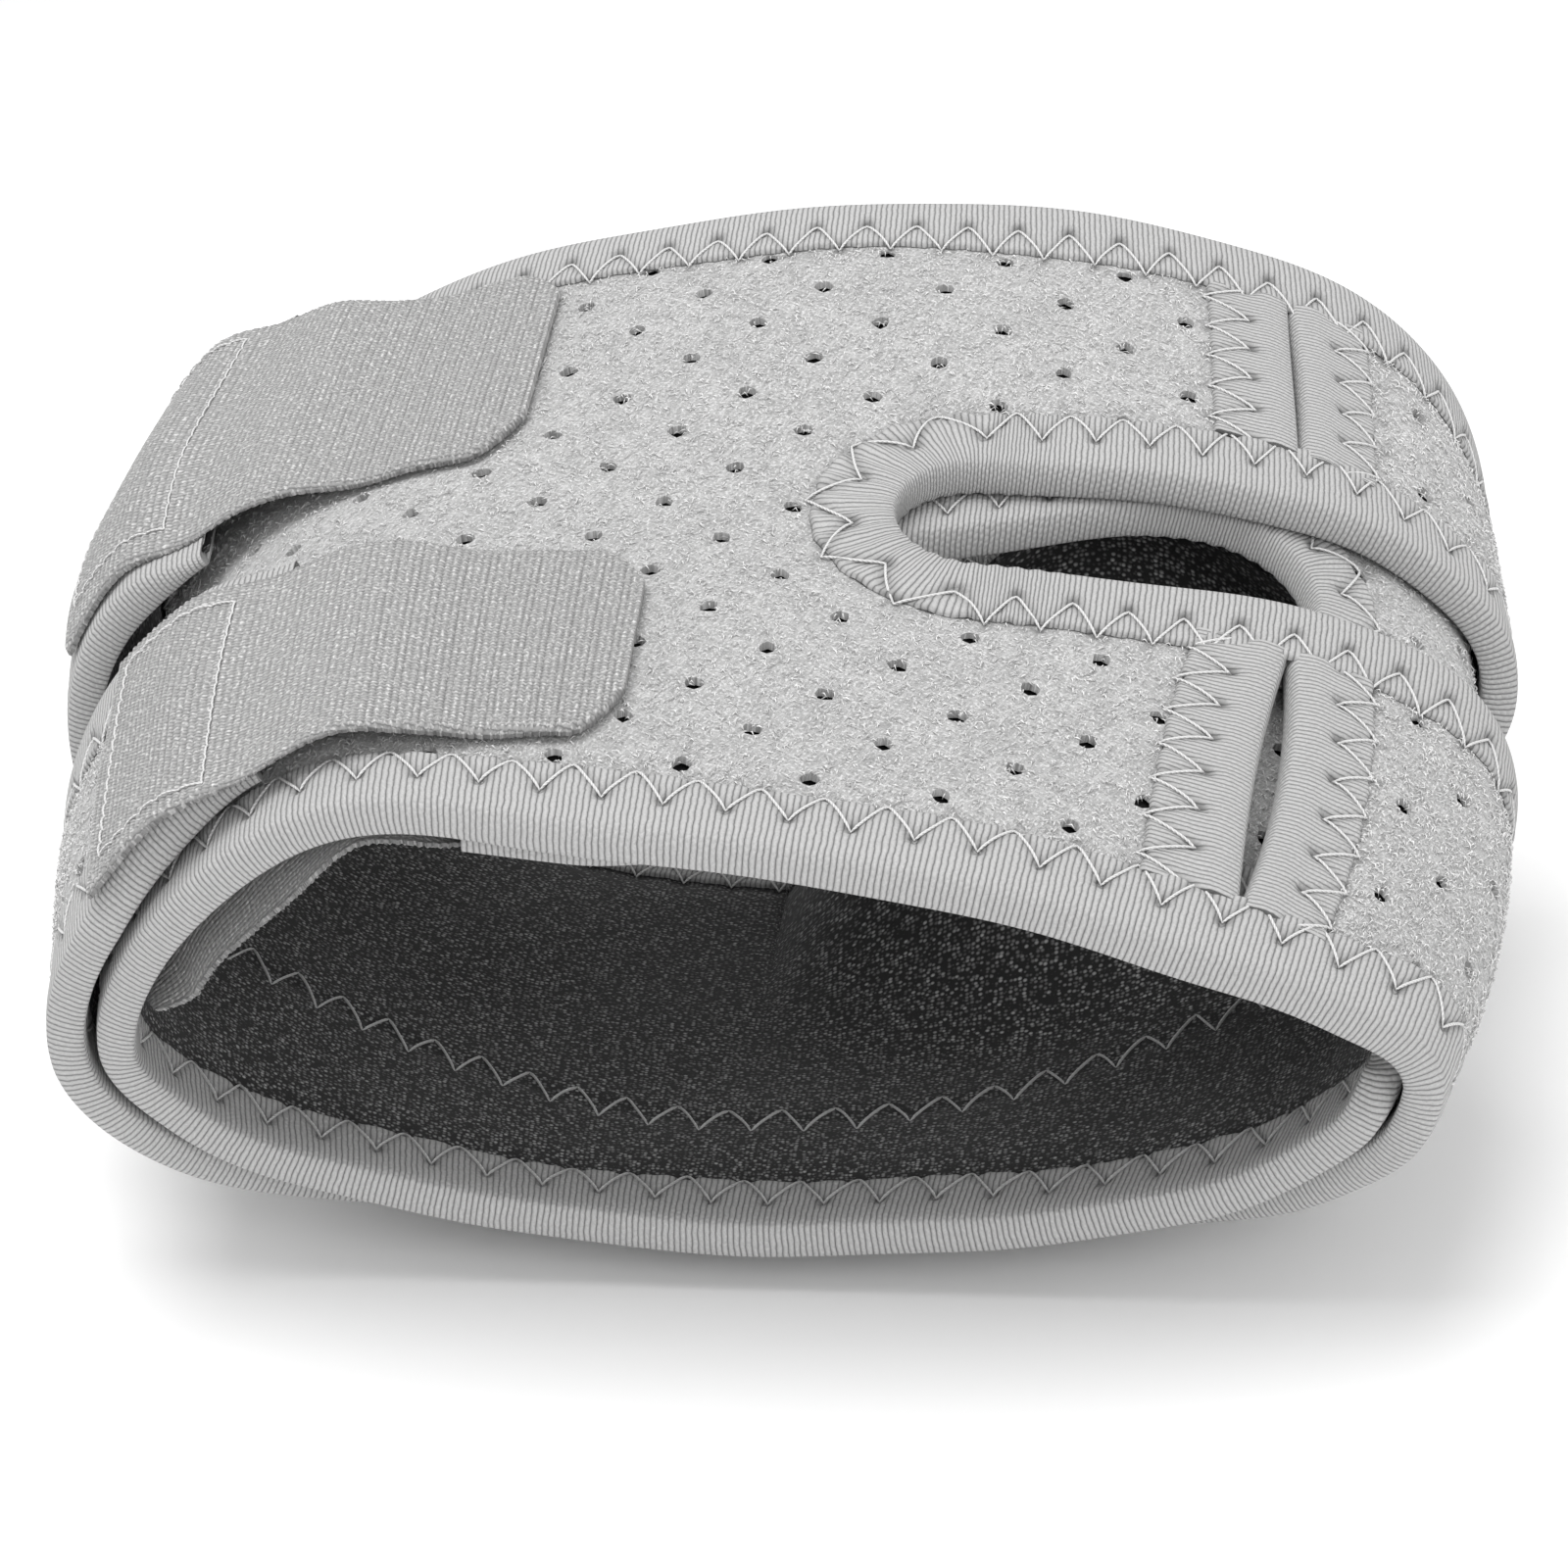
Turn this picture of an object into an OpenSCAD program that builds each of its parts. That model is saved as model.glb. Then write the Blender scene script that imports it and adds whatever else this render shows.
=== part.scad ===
// Wrap-around elbow brace, lying closed on its back.
// A cut panel of perforated loop fabric, foam and jersey starts with two inner straps, passes under
// the arm, covers the crook with a notched top layer and ends in two outer straps that go once
// round the body. Woven hook tabs close it. Ribbed tape binds every edge and slot.
//
// Every piece is laid out on the flat panel and wrapped by wrap_point(p, t, n):
//   p  angle along the wrap in degrees, clockwise as seen from the forearm end
//      (0 left fold, 90 top, 180 right fold, 270 underside, 450 top layer, 810 outermost lap)
//   t  distance along the arm in mm, negative towards the forearm end
//   n  height above the middle of the fabric in mm, positive away from the arm

/* [Body] */
// Length of the brace along the arm, measured at its folds
body_length = 112; // [104:1:120]
// Extra length of the panel where it crosses the crook, and missing length under the elbow
crook_length = 16; // [0:1:20]
// How much longer the panel is at the right fold, and shorter at the left one
fold_length = 6; // [0:0.5:8]
// Half width of the flattened tube at the forearm end
near_half_width = 67; // [60:1:72]
// Half width of the flattened tube at the upper arm end
far_half_width = 77; // [70:1:84]
// How far the sides bulge between the two ends
side_bulge = 6; // [0:0.5:8]
// Height of the top of the tube above its folds, forearm end
near_rise = 25; // [18:1:30]
// Height of the top of the tube above its folds, upper arm end
far_rise = 38; // [30:1:44]
// Depth of the underside below the folds, forearm end
near_drop = 25; // [20:1:30]
// Depth of the underside below the folds, upper arm end
far_drop = 43; // [34:1:48]
// How far the right half of the underside has sunk in at the upper arm end, as a share of its depth
far_tuck = 1.36; // [0:0.02:1.36]

/* [Wrap] */
// Distance between the first lap and the second, middle to middle
lap_gap = 5; // [5:0.1:7]
// Distance between the second lap and the outer straps
strap_gap = 5.2; // [5.2:0.1:7]
// How far the upper outer strap stands off further where it turns round the left fold
strap_slack = 5; // [0:0.5:6]
// How far the lower outer strap is drawn in under the body
strap_draw = 14; // [0:1:14]
// How far the inner near edge is set back under the top layer
inner_set_back = 12; // [0:1:12]

/* [Fabric] */
// Thickness of the perforated loop fabric
face_thick = 0.6; // [0.4:0.1:0.8]
// Thickness of the foam core
foam_thick = 2.3; // [1.8:0.1:2.5]
// Thickness of the jersey lining
lining_thick = 0.4; // [0.3:0.1:0.5]
// Thickness of the ribbed binding tape
tape_thick = 0.5; // [0.3:0.1:0.6]
// Width of the tape on each side of an edge
tape_width = 9.2; // [7:0.1:10]
// Diameter of the sewing thread
thread_size = 0.3; // [0.2:0.05:0.4]
// Length of one whole zigzag stitch
zigzag_length = 6.4; // [5:0.1:8]

/* [Notches and slots] */
// Half width of the notch in the top layer
notch_half = 10.5; // [9:0.5:12]
// Half width of the notch in the inner layer
inner_notch_half = 11.5; // [10:0.5:12]
// Open width of the lower strap slot
lower_slot_gap = 2.4; // [1:0.1:3]
// Open width of the upper strap slot
upper_slot_gap = 0.6; // [0.4:0.1:3]

/* [Hook tabs] */
// Thickness of the woven hook tape
tab_thick = 1; // [0.8:0.1:1.2]

/* [Hidden] */
// Angles along the wrap where the features sit
inner_end = 66;
inner_notch_end = 142;
notch_end = 459;
slot_at = 497;
fold_at = 720;
// Where a strap ends, its hook tab starts, the tab's sewn part ends and the tab itself ends
lower_stops = [768, 748, 766, 800];
upper_stops = [754, 733, 752, 786];
inner_tab_start = 80;
inner_tab_end = 12;

// Gap in degrees between pieces that swing and pieces that stay
hinge_gap = 1;
// How far each outer strap's notch side has moved towards the forearm end at its end
low_strap_taper = 8;
upper_strap_taper = 13;
// The stretches of the wrap, as start and span in degrees, over which the laps change height, the
// upper strap's bulge grows and fades, the notch shifts across and the outer straps taper
second_lap = [300, 120];
strap_lap = [650, 120];
bulge_grows = [650, 70];
bulge_fades = [738, 40];
notch_shifts = [notch_end, 50];
straps_taper = [520, 220];
// The bulge's reach along the arm, as start and span in fractions of the panel's length
bulge_reach = [0.35, 0.4];

// Shape of the top of the tube at the forearm end and the upper arm end: how far it leans to the
// left, and the power of the sine that its height follows
lean_ends = [0.35, -0.06];
power_ends = [1.2, 0.75];
drop_power = 1.1;
// Sag of the top between its ends
top_sag = 2.5;
// Ridge where the inner laps bunch up: height at the forearm end, angle and spread
bunch = [4.5, 52, 20];
// Where the sunken part of the underside starts: along the arm and across, each as start and span
tuck_along = [0.35, 0.62];
tuck_across = [-0.085, 0.56];
// Where it becomes shallower again towards the right fold, and how much
tuck_fades = [0.5, 0.5];
tuck_fade_by = 0.5;
// Power that pushes the step of the sunken part towards the right
tuck_skew = 1.2;
// Half the angle over which the wrap's direction is measured
direction_step = 1.2;

// Half the width of the flat at each notch's closed end
notch_tip = 4;
// Middle of each notch at its closed end, and how far it moves away from there
notch_level = 1;
notch_shift = 6.5;
inner_level = 6;
inner_shift = 12;
// Angles over which the inner notch narrows and its near edge comes back out
inner_narrows = [131, 40];
inner_narrowing_by = 3.5;
set_back_starts = [196, 40];
set_back_eases = [98, 22];

// The curved seam under the elbow: where it runs, its level at the ends, how far it dips towards
// the forearm edge, the angle and spread of the dip, and half the width of its stitch
seam_span = [222, 335];
seam_level = -14;
seam_dip = [11, 272, 32];
seam_half = 2.2;
// Air left between layers that slide on each other
clearance = 0.4;
// Shift that puts the origin under the middle of the brace, on the surface it rests on
centre = [-3.6, 0, 0];

fabric_thick = face_thick + foam_thick + lining_thick;
lining_face = -fabric_thick / 2;
foam_low = lining_face + lining_thick;
foam_high = foam_low + foam_thick;
loop_face = fabric_thick / 2;
tape_inner = loop_face + 0.05;
tape_outer = tape_inner + tape_thick;
tape_roll = 0.9;
floor_gap = tape_outer + thread_size + 0.05;
// Distances in from the bound edge between which the zigzag runs
zig_near = 4.6;
zig_far = 9.8;
// Width of the zigzag band measured across the tape, which leaves a thread of its own size
zig_band = 0.45;

loop_grey = [0.74, 0.74, 0.74];
foam_black = [0.12, 0.12, 0.12];
lining_grey = [0.22, 0.22, 0.22];
tape_grey = [0.66, 0.66, 0.66];
hook_grey = [0.7, 0.7, 0.7];
thread_grey = [0.85, 0.85, 0.85];

// ---- The wrapped surface ----

function mix(a, b, w) = a + (b - a) * w;
function ease(x) = let (c = max(0, min(1, x))) c * c * (3 - 2 * c);
// Eases from 0 to 1 over a stretch given as start and span, or back from its start downwards
function rising(x, stretch) = ease((x - stretch[0]) / stretch[1]);
function falling(x, stretch) = ease((stretch[0] - x) / stretch[1]);
function signed_angle(p) = p - 360 * floor((p + 180) / 360);

// Half the length of the panel along the arm at angle p
function half_length(p) = (body_length + crook_length * sin(p) - fold_length * cos(p)) / 2;

// How far the upper outer strap bulges where it turns round the left fold
function fold_bulge(p, v) =
    strap_slack * rising(v, bulge_reach) * rising(p, bulge_grows) * (1 - rising(p, bulge_fades));

// Height of each lap above the first one
function lap_height(p, v) =
    lap_gap * rising(p, second_lap) + strap_gap * rising(p, strap_lap) + fold_bulge(p, v);

// How far the underside has sunk in: a skewed step across its right half, growing along the arm
function tuck(p, v) =
    let (across = max(0, min(1, (-cos(p) - tuck_across[0]) / tuck_across[1])))
    far_tuck * rising(v, tuck_along) * (1 - pow(1 - pow(across, tuck_skew), 2))
    * (1 - tuck_fade_by * rising(-cos(p), tuck_fades));

// Middle line of the first lap at angle p and fraction v of the length, as [x, z]
function section(p, v) =
    let (
        half = mix(near_half_width, far_half_width, v) + side_bulge * 4 * v * (1 - v),
        rise = mix(near_rise, far_rise, v) - top_sag * 4 * v * (1 - v),
        drop = mix(near_drop, far_drop, v) * (1 - tuck(p, v)),
        lean = mix(lean_ends[0], lean_ends[1], v),
        top_power = mix(power_ends[0], power_ends[1], v),
        ridge = bunch[0] * (1 - v) * exp(-pow((signed_angle(p) - bunch[1]) / bunch[2], 2)),
        s = sin(p),
        top = rise * (1 + lean * cos(p)) * pow(max(0, s), top_power) + ridge,
        z = s >= 0 ? top : -drop * pow(-s, drop_power)
    )
    [-half * cos(p), z + mix(near_drop, far_drop, v) + lap_gap + floor_gap];

function wrap_point(p, t, n) =
    let (
        v = max(0, min(1, 0.5 + t / (2 * half_length(p)))),
        here = section(p, v),
        ahead = section(p + direction_step, v),
        behind = section(p - direction_step, v),
        along = (ahead - behind) / norm(ahead - behind),
        off = lap_height(p, v) + n
    )
    [here[0] - along[1] * off, t, here[1] + along[0] * off] - centre;

function mm_per_degree(p, t) = norm(wrap_point(p + 1, t, 0) - wrap_point(p - 1, t, 0)) / 2;

// ---- Outlines of the flat panel ----

function drawn_in(p) = p > 540 && p < 720 ? strap_draw * pow(sin(p - 540), 2) : 0;
function set_back(p) =
    inner_set_back * (falling(p, set_back_starts) - 0.5 * falling(p, set_back_eases));
function near_edge(p) = -half_length(p) + drawn_in(p) + set_back(p);
function far_edge(p) = half_length(p);

// Half width of a round-ended notch at distance x from its closed end
function round_end(x, h) = x >= h ? h : sqrt(max(0, h * h - (h - x) * (h - x)));

notch_scale = mm_per_degree(notch_end + 5, 0);
inner_notch_scale = mm_per_degree(inner_notch_end - 5, 0);

function notch_middle(p) = notch_level + notch_shift * rising(p, notch_shifts);
function notch_low(p) =
    notch_middle(p) - round_end((p - notch_end) * notch_scale, notch_half)
    - low_strap_taper * rising(p, straps_taper) + drawn_in(p);
function notch_high(p) =
    notch_middle(p) + round_end((p - notch_end) * notch_scale, notch_half)
    - upper_strap_taper * rising(p, straps_taper);

function inner_half(p) =
    round_end((inner_notch_end - p) * inner_notch_scale, inner_notch_half)
    - inner_narrowing_by * falling(p, inner_narrows);
function inner_middle(p) = inner_level - inner_shift * falling(p, inner_narrows);
function inner_low(p) = inner_middle(p) - inner_half(p);
function inner_high(p) = inner_middle(p) + inner_half(p);

// Angles at which a notch's round end is sampled, from its tip outwards
function round_end_steps(h, scale) = [for (a = [22.5:22.5:90]) h * (1 - cos(a)) / scale];
function steps(from, to, count) = [for (i = [0:count]) mix(from, to, i / count)];
function reversed(v) = [for (i = [len(v) - 1:-1:0]) v[i]];

// ---- Solids on the wrapped surface ----

// A sheet on a grid: columns at angles ps, rows at distances ts[i][j], each cell present where
// mask[i][j] is true, between heights low[i] and high[i]
module sheet(ps, ts, mask, low, high) {
    cols = len(ps);
    rows = len(ts[0]);
    function at(k, i, j) = (k * cols + i) * rows + j;
    function has(i, j) = i >= 0 && j >= 0 && i < cols - 1 && j < rows - 1 && mask[i][j];
    points = [
        for (k = [0, 1], i = [0:cols - 1], j = [0:rows - 1])
            wrap_point(ps[i], ts[i][j], k == 0 ? low[i] : high[i])
    ];
    faces = [
        for (i = [0:cols - 2], j = [0:rows - 2]) if (has(i, j)) each [
            [at(1, i, j), at(1, i, j + 1), at(1, i + 1, j + 1)],
            [at(1, i, j), at(1, i + 1, j + 1), at(1, i + 1, j)],
            [at(0, i, j), at(0, i + 1, j + 1), at(0, i, j + 1)],
            [at(0, i, j), at(0, i + 1, j), at(0, i + 1, j + 1)],
            if (!has(i, j - 1)) each [
                [at(0, i, j), at(1, i, j), at(1, i + 1, j)],
                [at(0, i, j), at(1, i + 1, j), at(0, i + 1, j)]
            ],
            if (!has(i, j + 1)) each [
                [at(0, i, j + 1), at(1, i + 1, j + 1), at(1, i, j + 1)],
                [at(0, i, j + 1), at(0, i + 1, j + 1), at(1, i + 1, j + 1)]
            ],
            if (!has(i - 1, j)) each [
                [at(0, i, j + 1), at(1, i, j + 1), at(1, i, j)],
                [at(0, i, j + 1), at(1, i, j), at(0, i, j)]
            ],
            if (!has(i + 1, j)) each [
                [at(0, i + 1, j + 1), at(1, i + 1, j), at(1, i + 1, j + 1)],
                [at(0, i + 1, j + 1), at(0, i + 1, j), at(1, i + 1, j)]
            ]
        ]
    ];
    used = [for (f = faces) each f];
    keep = [for (q = [0:len(points) - 1]) len(search(q, used, 1)) > 0];
    rank = [for (sum = 0, q = 0; q < len(points); sum = sum + (keep[q] ? 1 : 0), q = q + 1) sum];
    polyhedron(
        points = [for (q = [0:len(points) - 1]) if (keep[q]) points[q]],
        faces = [for (f = faces) [for (q = f) rank[q]]]
    );
}

// A band of fabric between two edges, given as rows of [low, high] t values for each angle
module band(ps, edges, low, high, cells = 3) {
    sheet(
        ps,
        [for (e = edges) [for (j = [0:cells]) mix(e[0], e[1], j / cells)]],
        [for (p = ps) [for (j = [1:cells]) true]],
        is_list(low) ? low : [for (p = ps) low],
        is_list(high) ? high : [for (p = ps) high]
    );
}

// A profile of [inward, height] points carried along a path of [p, t, inward p, inward t] steps
function place(step, u, n) =
    wrap_point(step[0] + u * step[2] / mm_per_degree(step[0], step[1]), step[1] + u * step[3], n);

module sweep(rings, caps) {
    sides = len(rings[0]);
    last = len(rings) - 1;
    polyhedron(
        points = [for (ring = rings) each ring],
        faces = [
            for (i = [0:last - 1], m = [0:sides - 1])
                let (
                    a = i * sides + (m + 1) % sides,
                    b = i * sides + m,
                    c = (i + 1) * sides + m,
                    d = (i + 1) * sides + (m + 1) % sides
                )
                each [[a, b, c], [a, c, d]],
            for (q = caps) each [[q[0], q[1], q[2]], [q[0], q[2], q[3]]],
            for (q = caps) each [
                [last * sides + q[2], last * sides + q[1], last * sides + q[0]],
                [last * sides + q[3], last * sides + q[2], last * sides + q[0]]
            ]
        ]
    );
}

// Tape folded over a cut edge
module edge_tape(path, width = tape_width) {
    profile = [
        [width, tape_outer], [-tape_roll, tape_outer], [-tape_roll, -tape_outer], [width, -tape_outer],
        [width, -tape_inner], [-0.1, -tape_inner], [-0.1, tape_inner], [width, tape_inner]
    ];
    sweep(
        [for (step = path) [for (q = profile) place(step, q[0], q[1])]],
        [[0, 1, 6, 7], [1, 2, 5, 6], [2, 3, 4, 5]]
    );
}

function running_sum(v) = [for (sum = 0, i = 0; i < len(v); sum = sum + v[i], i = i + 1) sum + v[i]];

// The same path with a step at every given distance
function resampled(path, spacing) =
    let (
        spots = [for (step = path) wrap_point(step[0], step[1], 0)],
        gaps = [for (i = [0:len(path) - 1]) i == 0 ? 0 : norm(spots[i] - spots[i - 1])],
        reach = running_sum(gaps),
        count = floor(reach[len(reach) - 1] / spacing),
        column = [for (k = [0:3]) [for (i = [0:len(path) - 1]) [reach[i], path[i][k]]]]
    )
    [for (i = [0:count]) [for (k = [0:3]) lookup(i * spacing, column[k])]];

// One row of zigzag thread along a path, lying on the tape or the lining
module zigzag(path, low_u = zig_near, high_u = zig_far, level = tape_outer) {
    stops = resampled(path, zigzag_length / 2);
    low_n = level >= 0 ? level : level - thread_size;
    high_n = low_n + thread_size;
    sweep(
        [
            for (i = [0:len(stops) - 1])
                let (u = i % 2 == 0 ? low_u : high_u)
                [
                    place(stops[i], u + zig_band, high_n), place(stops[i], u - zig_band, high_n),
                    place(stops[i], u - zig_band, low_n), place(stops[i], u + zig_band, low_n)
                ]
        ],
        [[0, 1, 2, 3]]
    );
}

// A straight line of stitching from [p, t] to [p, t] at height n above the lap
module stitch_line(from, to, n) {
    run = [(to[0] - from[0]) * mm_per_degree(from[0], from[1]), to[1] - from[1]];
    side = [-run[1], run[0]] / norm(run);
    half = thread_size / 2;
    path = [for (i = [0:4]) [mix(from[0], to[0], i / 4), mix(from[1], to[1], i / 4), side[0], side[1]]];
    sweep(
        [
            for (i = [0:4])
                [
                    place(path[i], half, n(path[i][0]) + thread_size),
                    place(path[i], -half, n(path[i][0]) + thread_size),
                    place(path[i], -half, n(path[i][0])), place(path[i], half, n(path[i][0]))
                ]
        ],
        [[0, 1, 2, 3]]
    );
}

// The four sides of a sewn rectangle, their ends kept apart
module sewn_box(p0, p1, t0, t1, n) {
    dp = 0.6 / mm_per_degree(p0, t0);
    dt = 0.6;
    stitch_line([p0 + dp, t0], [p1 - dp, t0], n);
    stitch_line([p0 + dp, t1], [p1 - dp, t1], n);
    stitch_line([p0, t0 + dt], [p0, t1 - dt], n);
    stitch_line([p1, t0 + dt], [p1, t1 - dt], n);
}

// ---- Paths along the edges, each with the fabric on its left ----

function along_edge(ps, edge, inward) = [for (p = ps) [p, edge(p), 0, inward]];
function across_edge(p, t0, t1, inward) = [for (t = steps(t0, t1, 4)) [p, t, inward, 0]];

// Round the closed end of a notch of half width h whose tip is at angle p; side is +1 where the
// notch opens towards larger angles
function round_path(p, middle, h, scale, side) = [
    for (a = [67.5:-22.5:-67.5])
        [
            p + side * h * (1 - cos(a)) / scale,
            middle - side * h * sin(a),
            -side * cos(a),
            -side * sin(a)
        ]
];

function notch_path(to) = concat(
    along_edge(
        reversed(columns(notch_end + notch_half / notch_scale, to)), function (p) notch_low(p), -1
    ),
    round_path(notch_end, notch_middle(notch_end + notch_tip), notch_half, notch_scale, 1),
    along_edge(columns(notch_end + notch_half / notch_scale, to), function (p) notch_high(p), 1)
);
inner_round = inner_notch_end - inner_notch_half / inner_notch_scale;
inner_notch_path = concat(
    along_edge(steps(inner_end, inner_round, 8), function (p) inner_high(p), 1),
    round_path(inner_notch_end, inner_middle(inner_notch_end), inner_notch_half, inner_notch_scale, -1),
    along_edge(steps(inner_round, inner_end, 8), function (p) inner_low(p), -1)
);

// ---- Fabric layers ----

// Columns stand at the same angles in every lap, so that laps stay parallel
column_step = 7.5;
function columns_between(from, to) = [
    for (k = [ceil(from / column_step):floor(to / column_step)])
        if (k * column_step > from + 1 && k * column_step < to - 1) k * column_step
];
function columns(from, to) = concat([from], columns_between(from, to), [to]);

lower_slot_half = lower_slot_gap / 2 / mm_per_degree(slot_at, -35);
upper_slot_half = upper_slot_gap / 2 / mm_per_degree(slot_at, 45);
body_angles = concat(
    steps(inner_end, inner_round, 7),
    reversed([for (d = round_end_steps(inner_notch_half, inner_notch_scale)) inner_notch_end - d]),
    steps(150, 450, 300 / column_step),
    [for (d = round_end_steps(notch_half, notch_scale)) notch_end + d],
    steps(475, slot_at - lower_slot_half - tape_roll, 3)
);
body_columns = [
    for (i = [0:len(body_angles) - 1])
        if (i == 0 || body_angles[i] - body_angles[i - 1] > 0.05) body_angles[i]
];

function row_low(p) = p < 300
    ? (p < inner_notch_end ? inner_low(p) : inner_middle(inner_notch_end) - notch_tip)
    : (p > notch_end ? notch_low(p) : notch_middle(notch_end) - notch_tip);
function row_high(p) = p < 300
    ? (p < inner_notch_end ? inner_high(p) : inner_middle(inner_notch_end) + notch_tip)
    : (p > notch_end ? notch_high(p) : notch_middle(notch_end) + notch_tip);
function body_rows(p) =
    let (a = near_edge(p), b = row_low(p), c = row_high(p), d = far_edge(p))
    [a, mix(a, b, 1 / 3), mix(a, b, 2 / 3), b, c, mix(c, d, 1 / 3), mix(c, d, 2 / 3), d];

module body_layer(low, high) {
    sheet(
        body_columns,
        [for (p = body_columns) body_rows(p)],
        [
            for (i = [0:len(body_columns) - 2])
                let (p = (body_columns[i] + body_columns[i + 1]) / 2)
                [for (j = [0:6]) j != 3 || (p > inner_notch_end - 0.8 && p < notch_end + 0.8)]
        ],
        [for (p = body_columns) low],
        [for (p = body_columns) high]
    );
}

strap_columns = columns(slot_at + lower_slot_half + tape_roll, fold_at - hinge_gap / 2);
lower_end_columns = steps(fold_at + hinge_gap / 2, lower_stops[0], 6);
upper_end_columns = steps(fold_at + hinge_gap / 2, upper_stops[0], 5);

module lower_layer(columns, low, high) {
    band(columns, [for (p = columns) [near_edge(p), notch_low(p)]], low, high);
}

module upper_layer(columns, low, high) {
    band(columns, [for (p = columns) [notch_high(p), far_edge(p)]], low, high);
}

module body_face() { color(loop_grey) body_layer(foam_high, loop_face); }
module body_foam() { color(foam_black) body_layer(foam_low, foam_high); }
module body_lining() { color(lining_grey) body_layer(lining_face, foam_low); }
module lower_strap_face() { color(loop_grey) lower_layer(strap_columns, foam_high, loop_face); }
module lower_strap_foam() { color(foam_black) lower_layer(strap_columns, foam_low, foam_high); }
module lower_strap_lining() { color(lining_grey) lower_layer(strap_columns, lining_face, foam_low); }
module upper_strap_face() { color(loop_grey) upper_layer(strap_columns, foam_high, loop_face); }
module upper_strap_foam() { color(foam_black) upper_layer(strap_columns, foam_low, foam_high); }
module upper_strap_lining() { color(lining_grey) upper_layer(strap_columns, lining_face, foam_low); }
module lower_end_face() { color(loop_grey) lower_layer(lower_end_columns, foam_high, loop_face); }
module lower_end_foam() { color(foam_black) lower_layer(lower_end_columns, foam_low, foam_high); }
module lower_end_lining() { color(lining_grey) lower_layer(lower_end_columns, lining_face, foam_low); }
module upper_end_face() { color(loop_grey) upper_layer(upper_end_columns, foam_high, loop_face); }
module upper_end_foam() { color(foam_black) upper_layer(upper_end_columns, foam_low, foam_high); }
module upper_end_lining() { color(lining_grey) upper_layer(upper_end_columns, lining_face, foam_low); }

// ---- Binding tape ----

fold_stop = fold_at - hinge_gap / 2;
near_path = along_edge(columns(inner_end, fold_stop), function (p) near_edge(p), 1);
far_path = along_edge(reversed(columns(inner_end, fold_stop)), function (p) far_edge(p), -1);
lower_end_near_path = along_edge(lower_end_columns, function (p) near_edge(p), 1);
lower_end_notch_path = along_edge(reversed(lower_end_columns), function (p) notch_low(p), -1);
upper_end_notch_path = along_edge(upper_end_columns, function (p) notch_high(p), 1);
upper_end_far_path = along_edge(reversed(upper_end_columns), function (p) far_edge(p), -1);

// The tapes on the two sides of a slot run between the tapes on the strap's own edges, their
// rolled sides clear of each other. The slots' middles lie at these places along the arm
slot_margin = tape_width + 0.3;
slot_play = 0.2;
slot_middles = [-35, 45];
slot_roll = tape_roll + slot_play;
lower_slot_ends = [near_edge(slot_at) + slot_margin, notch_low(slot_at) - slot_margin];
upper_slot_ends = [notch_high(slot_at) + slot_margin, far_edge(slot_at) - slot_margin];
lower_slot_shift = lower_slot_half + slot_roll / mm_per_degree(slot_at, slot_middles[0]);
upper_slot_shift = upper_slot_half + slot_roll / mm_per_degree(slot_at, slot_middles[1]);
lower_slot_left_path =
    across_edge(slot_at - lower_slot_shift, lower_slot_ends[0], lower_slot_ends[1], -1);
lower_slot_right_path =
    across_edge(slot_at + lower_slot_shift, lower_slot_ends[1], lower_slot_ends[0], 1);
upper_slot_left_path =
    across_edge(slot_at - upper_slot_shift, upper_slot_ends[0], upper_slot_ends[1], -1);
upper_slot_right_path =
    across_edge(slot_at + upper_slot_shift, upper_slot_ends[1], upper_slot_ends[0], 1);

module near_edge_binding() { color(tape_grey) edge_tape(near_path); }
module far_edge_binding() { color(tape_grey) edge_tape(far_path); }
module notch_binding() { color(tape_grey) edge_tape(notch_path(fold_stop)); }
module inner_notch_binding() { color(tape_grey) edge_tape(inner_notch_path, tape_width - 2); }
module lower_slot_left_binding() { color(tape_grey) edge_tape(lower_slot_left_path); }
module lower_slot_right_binding() { color(tape_grey) edge_tape(lower_slot_right_path); }
module upper_slot_left_binding() { color(tape_grey) edge_tape(upper_slot_left_path); }
module upper_slot_right_binding() { color(tape_grey) edge_tape(upper_slot_right_path); }
module lower_end_near_binding() { color(tape_grey) edge_tape(lower_end_near_path); }
module lower_end_notch_binding() { color(tape_grey) edge_tape(lower_end_notch_path); }
module upper_end_far_binding() { color(tape_grey) edge_tape(upper_end_far_path); }
module upper_end_notch_binding() { color(tape_grey) edge_tape(upper_end_notch_path); }

// ---- Stitching ----

// The seam that joins the two lining pieces curves towards the forearm edge under the elbow
function seam_line(p) = seam_level - seam_dip[0] * exp(-pow((p - seam_dip[1]) / seam_dip[2], 2));
seam_path = along_edge(steps(seam_span[0], seam_span[1], 16), function (p) seam_line(p), 1);

module near_edge_stitching() { color(thread_grey) zigzag(near_path); }
module far_edge_stitching() { color(thread_grey) zigzag(far_path); }
module notch_stitching() { color(thread_grey) zigzag(notch_path(fold_stop)); }
module inner_notch_stitching() { color(thread_grey) zigzag(inner_notch_path, 3, 7.8); }
module lower_slot_stitching() {
    color(thread_grey) {
        zigzag(lower_slot_left_path);
        zigzag(lower_slot_right_path);
    }
}
module upper_slot_stitching() {
    color(thread_grey) {
        zigzag(upper_slot_left_path);
        zigzag(upper_slot_right_path);
    }
}
module lining_seam_stitching() { color(thread_grey) zigzag(seam_path, -seam_half, seam_half, lining_face); }
module lower_end_stitching() {
    color(thread_grey) {
        zigzag(lower_end_near_path);
        zigzag(lower_end_notch_path);
    }
}
module upper_end_stitching() {
    color(thread_grey) {
        zigzag(upper_end_far_path);
        zigzag(upper_end_notch_path);
    }
}

// ---- Hook tabs ----

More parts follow.
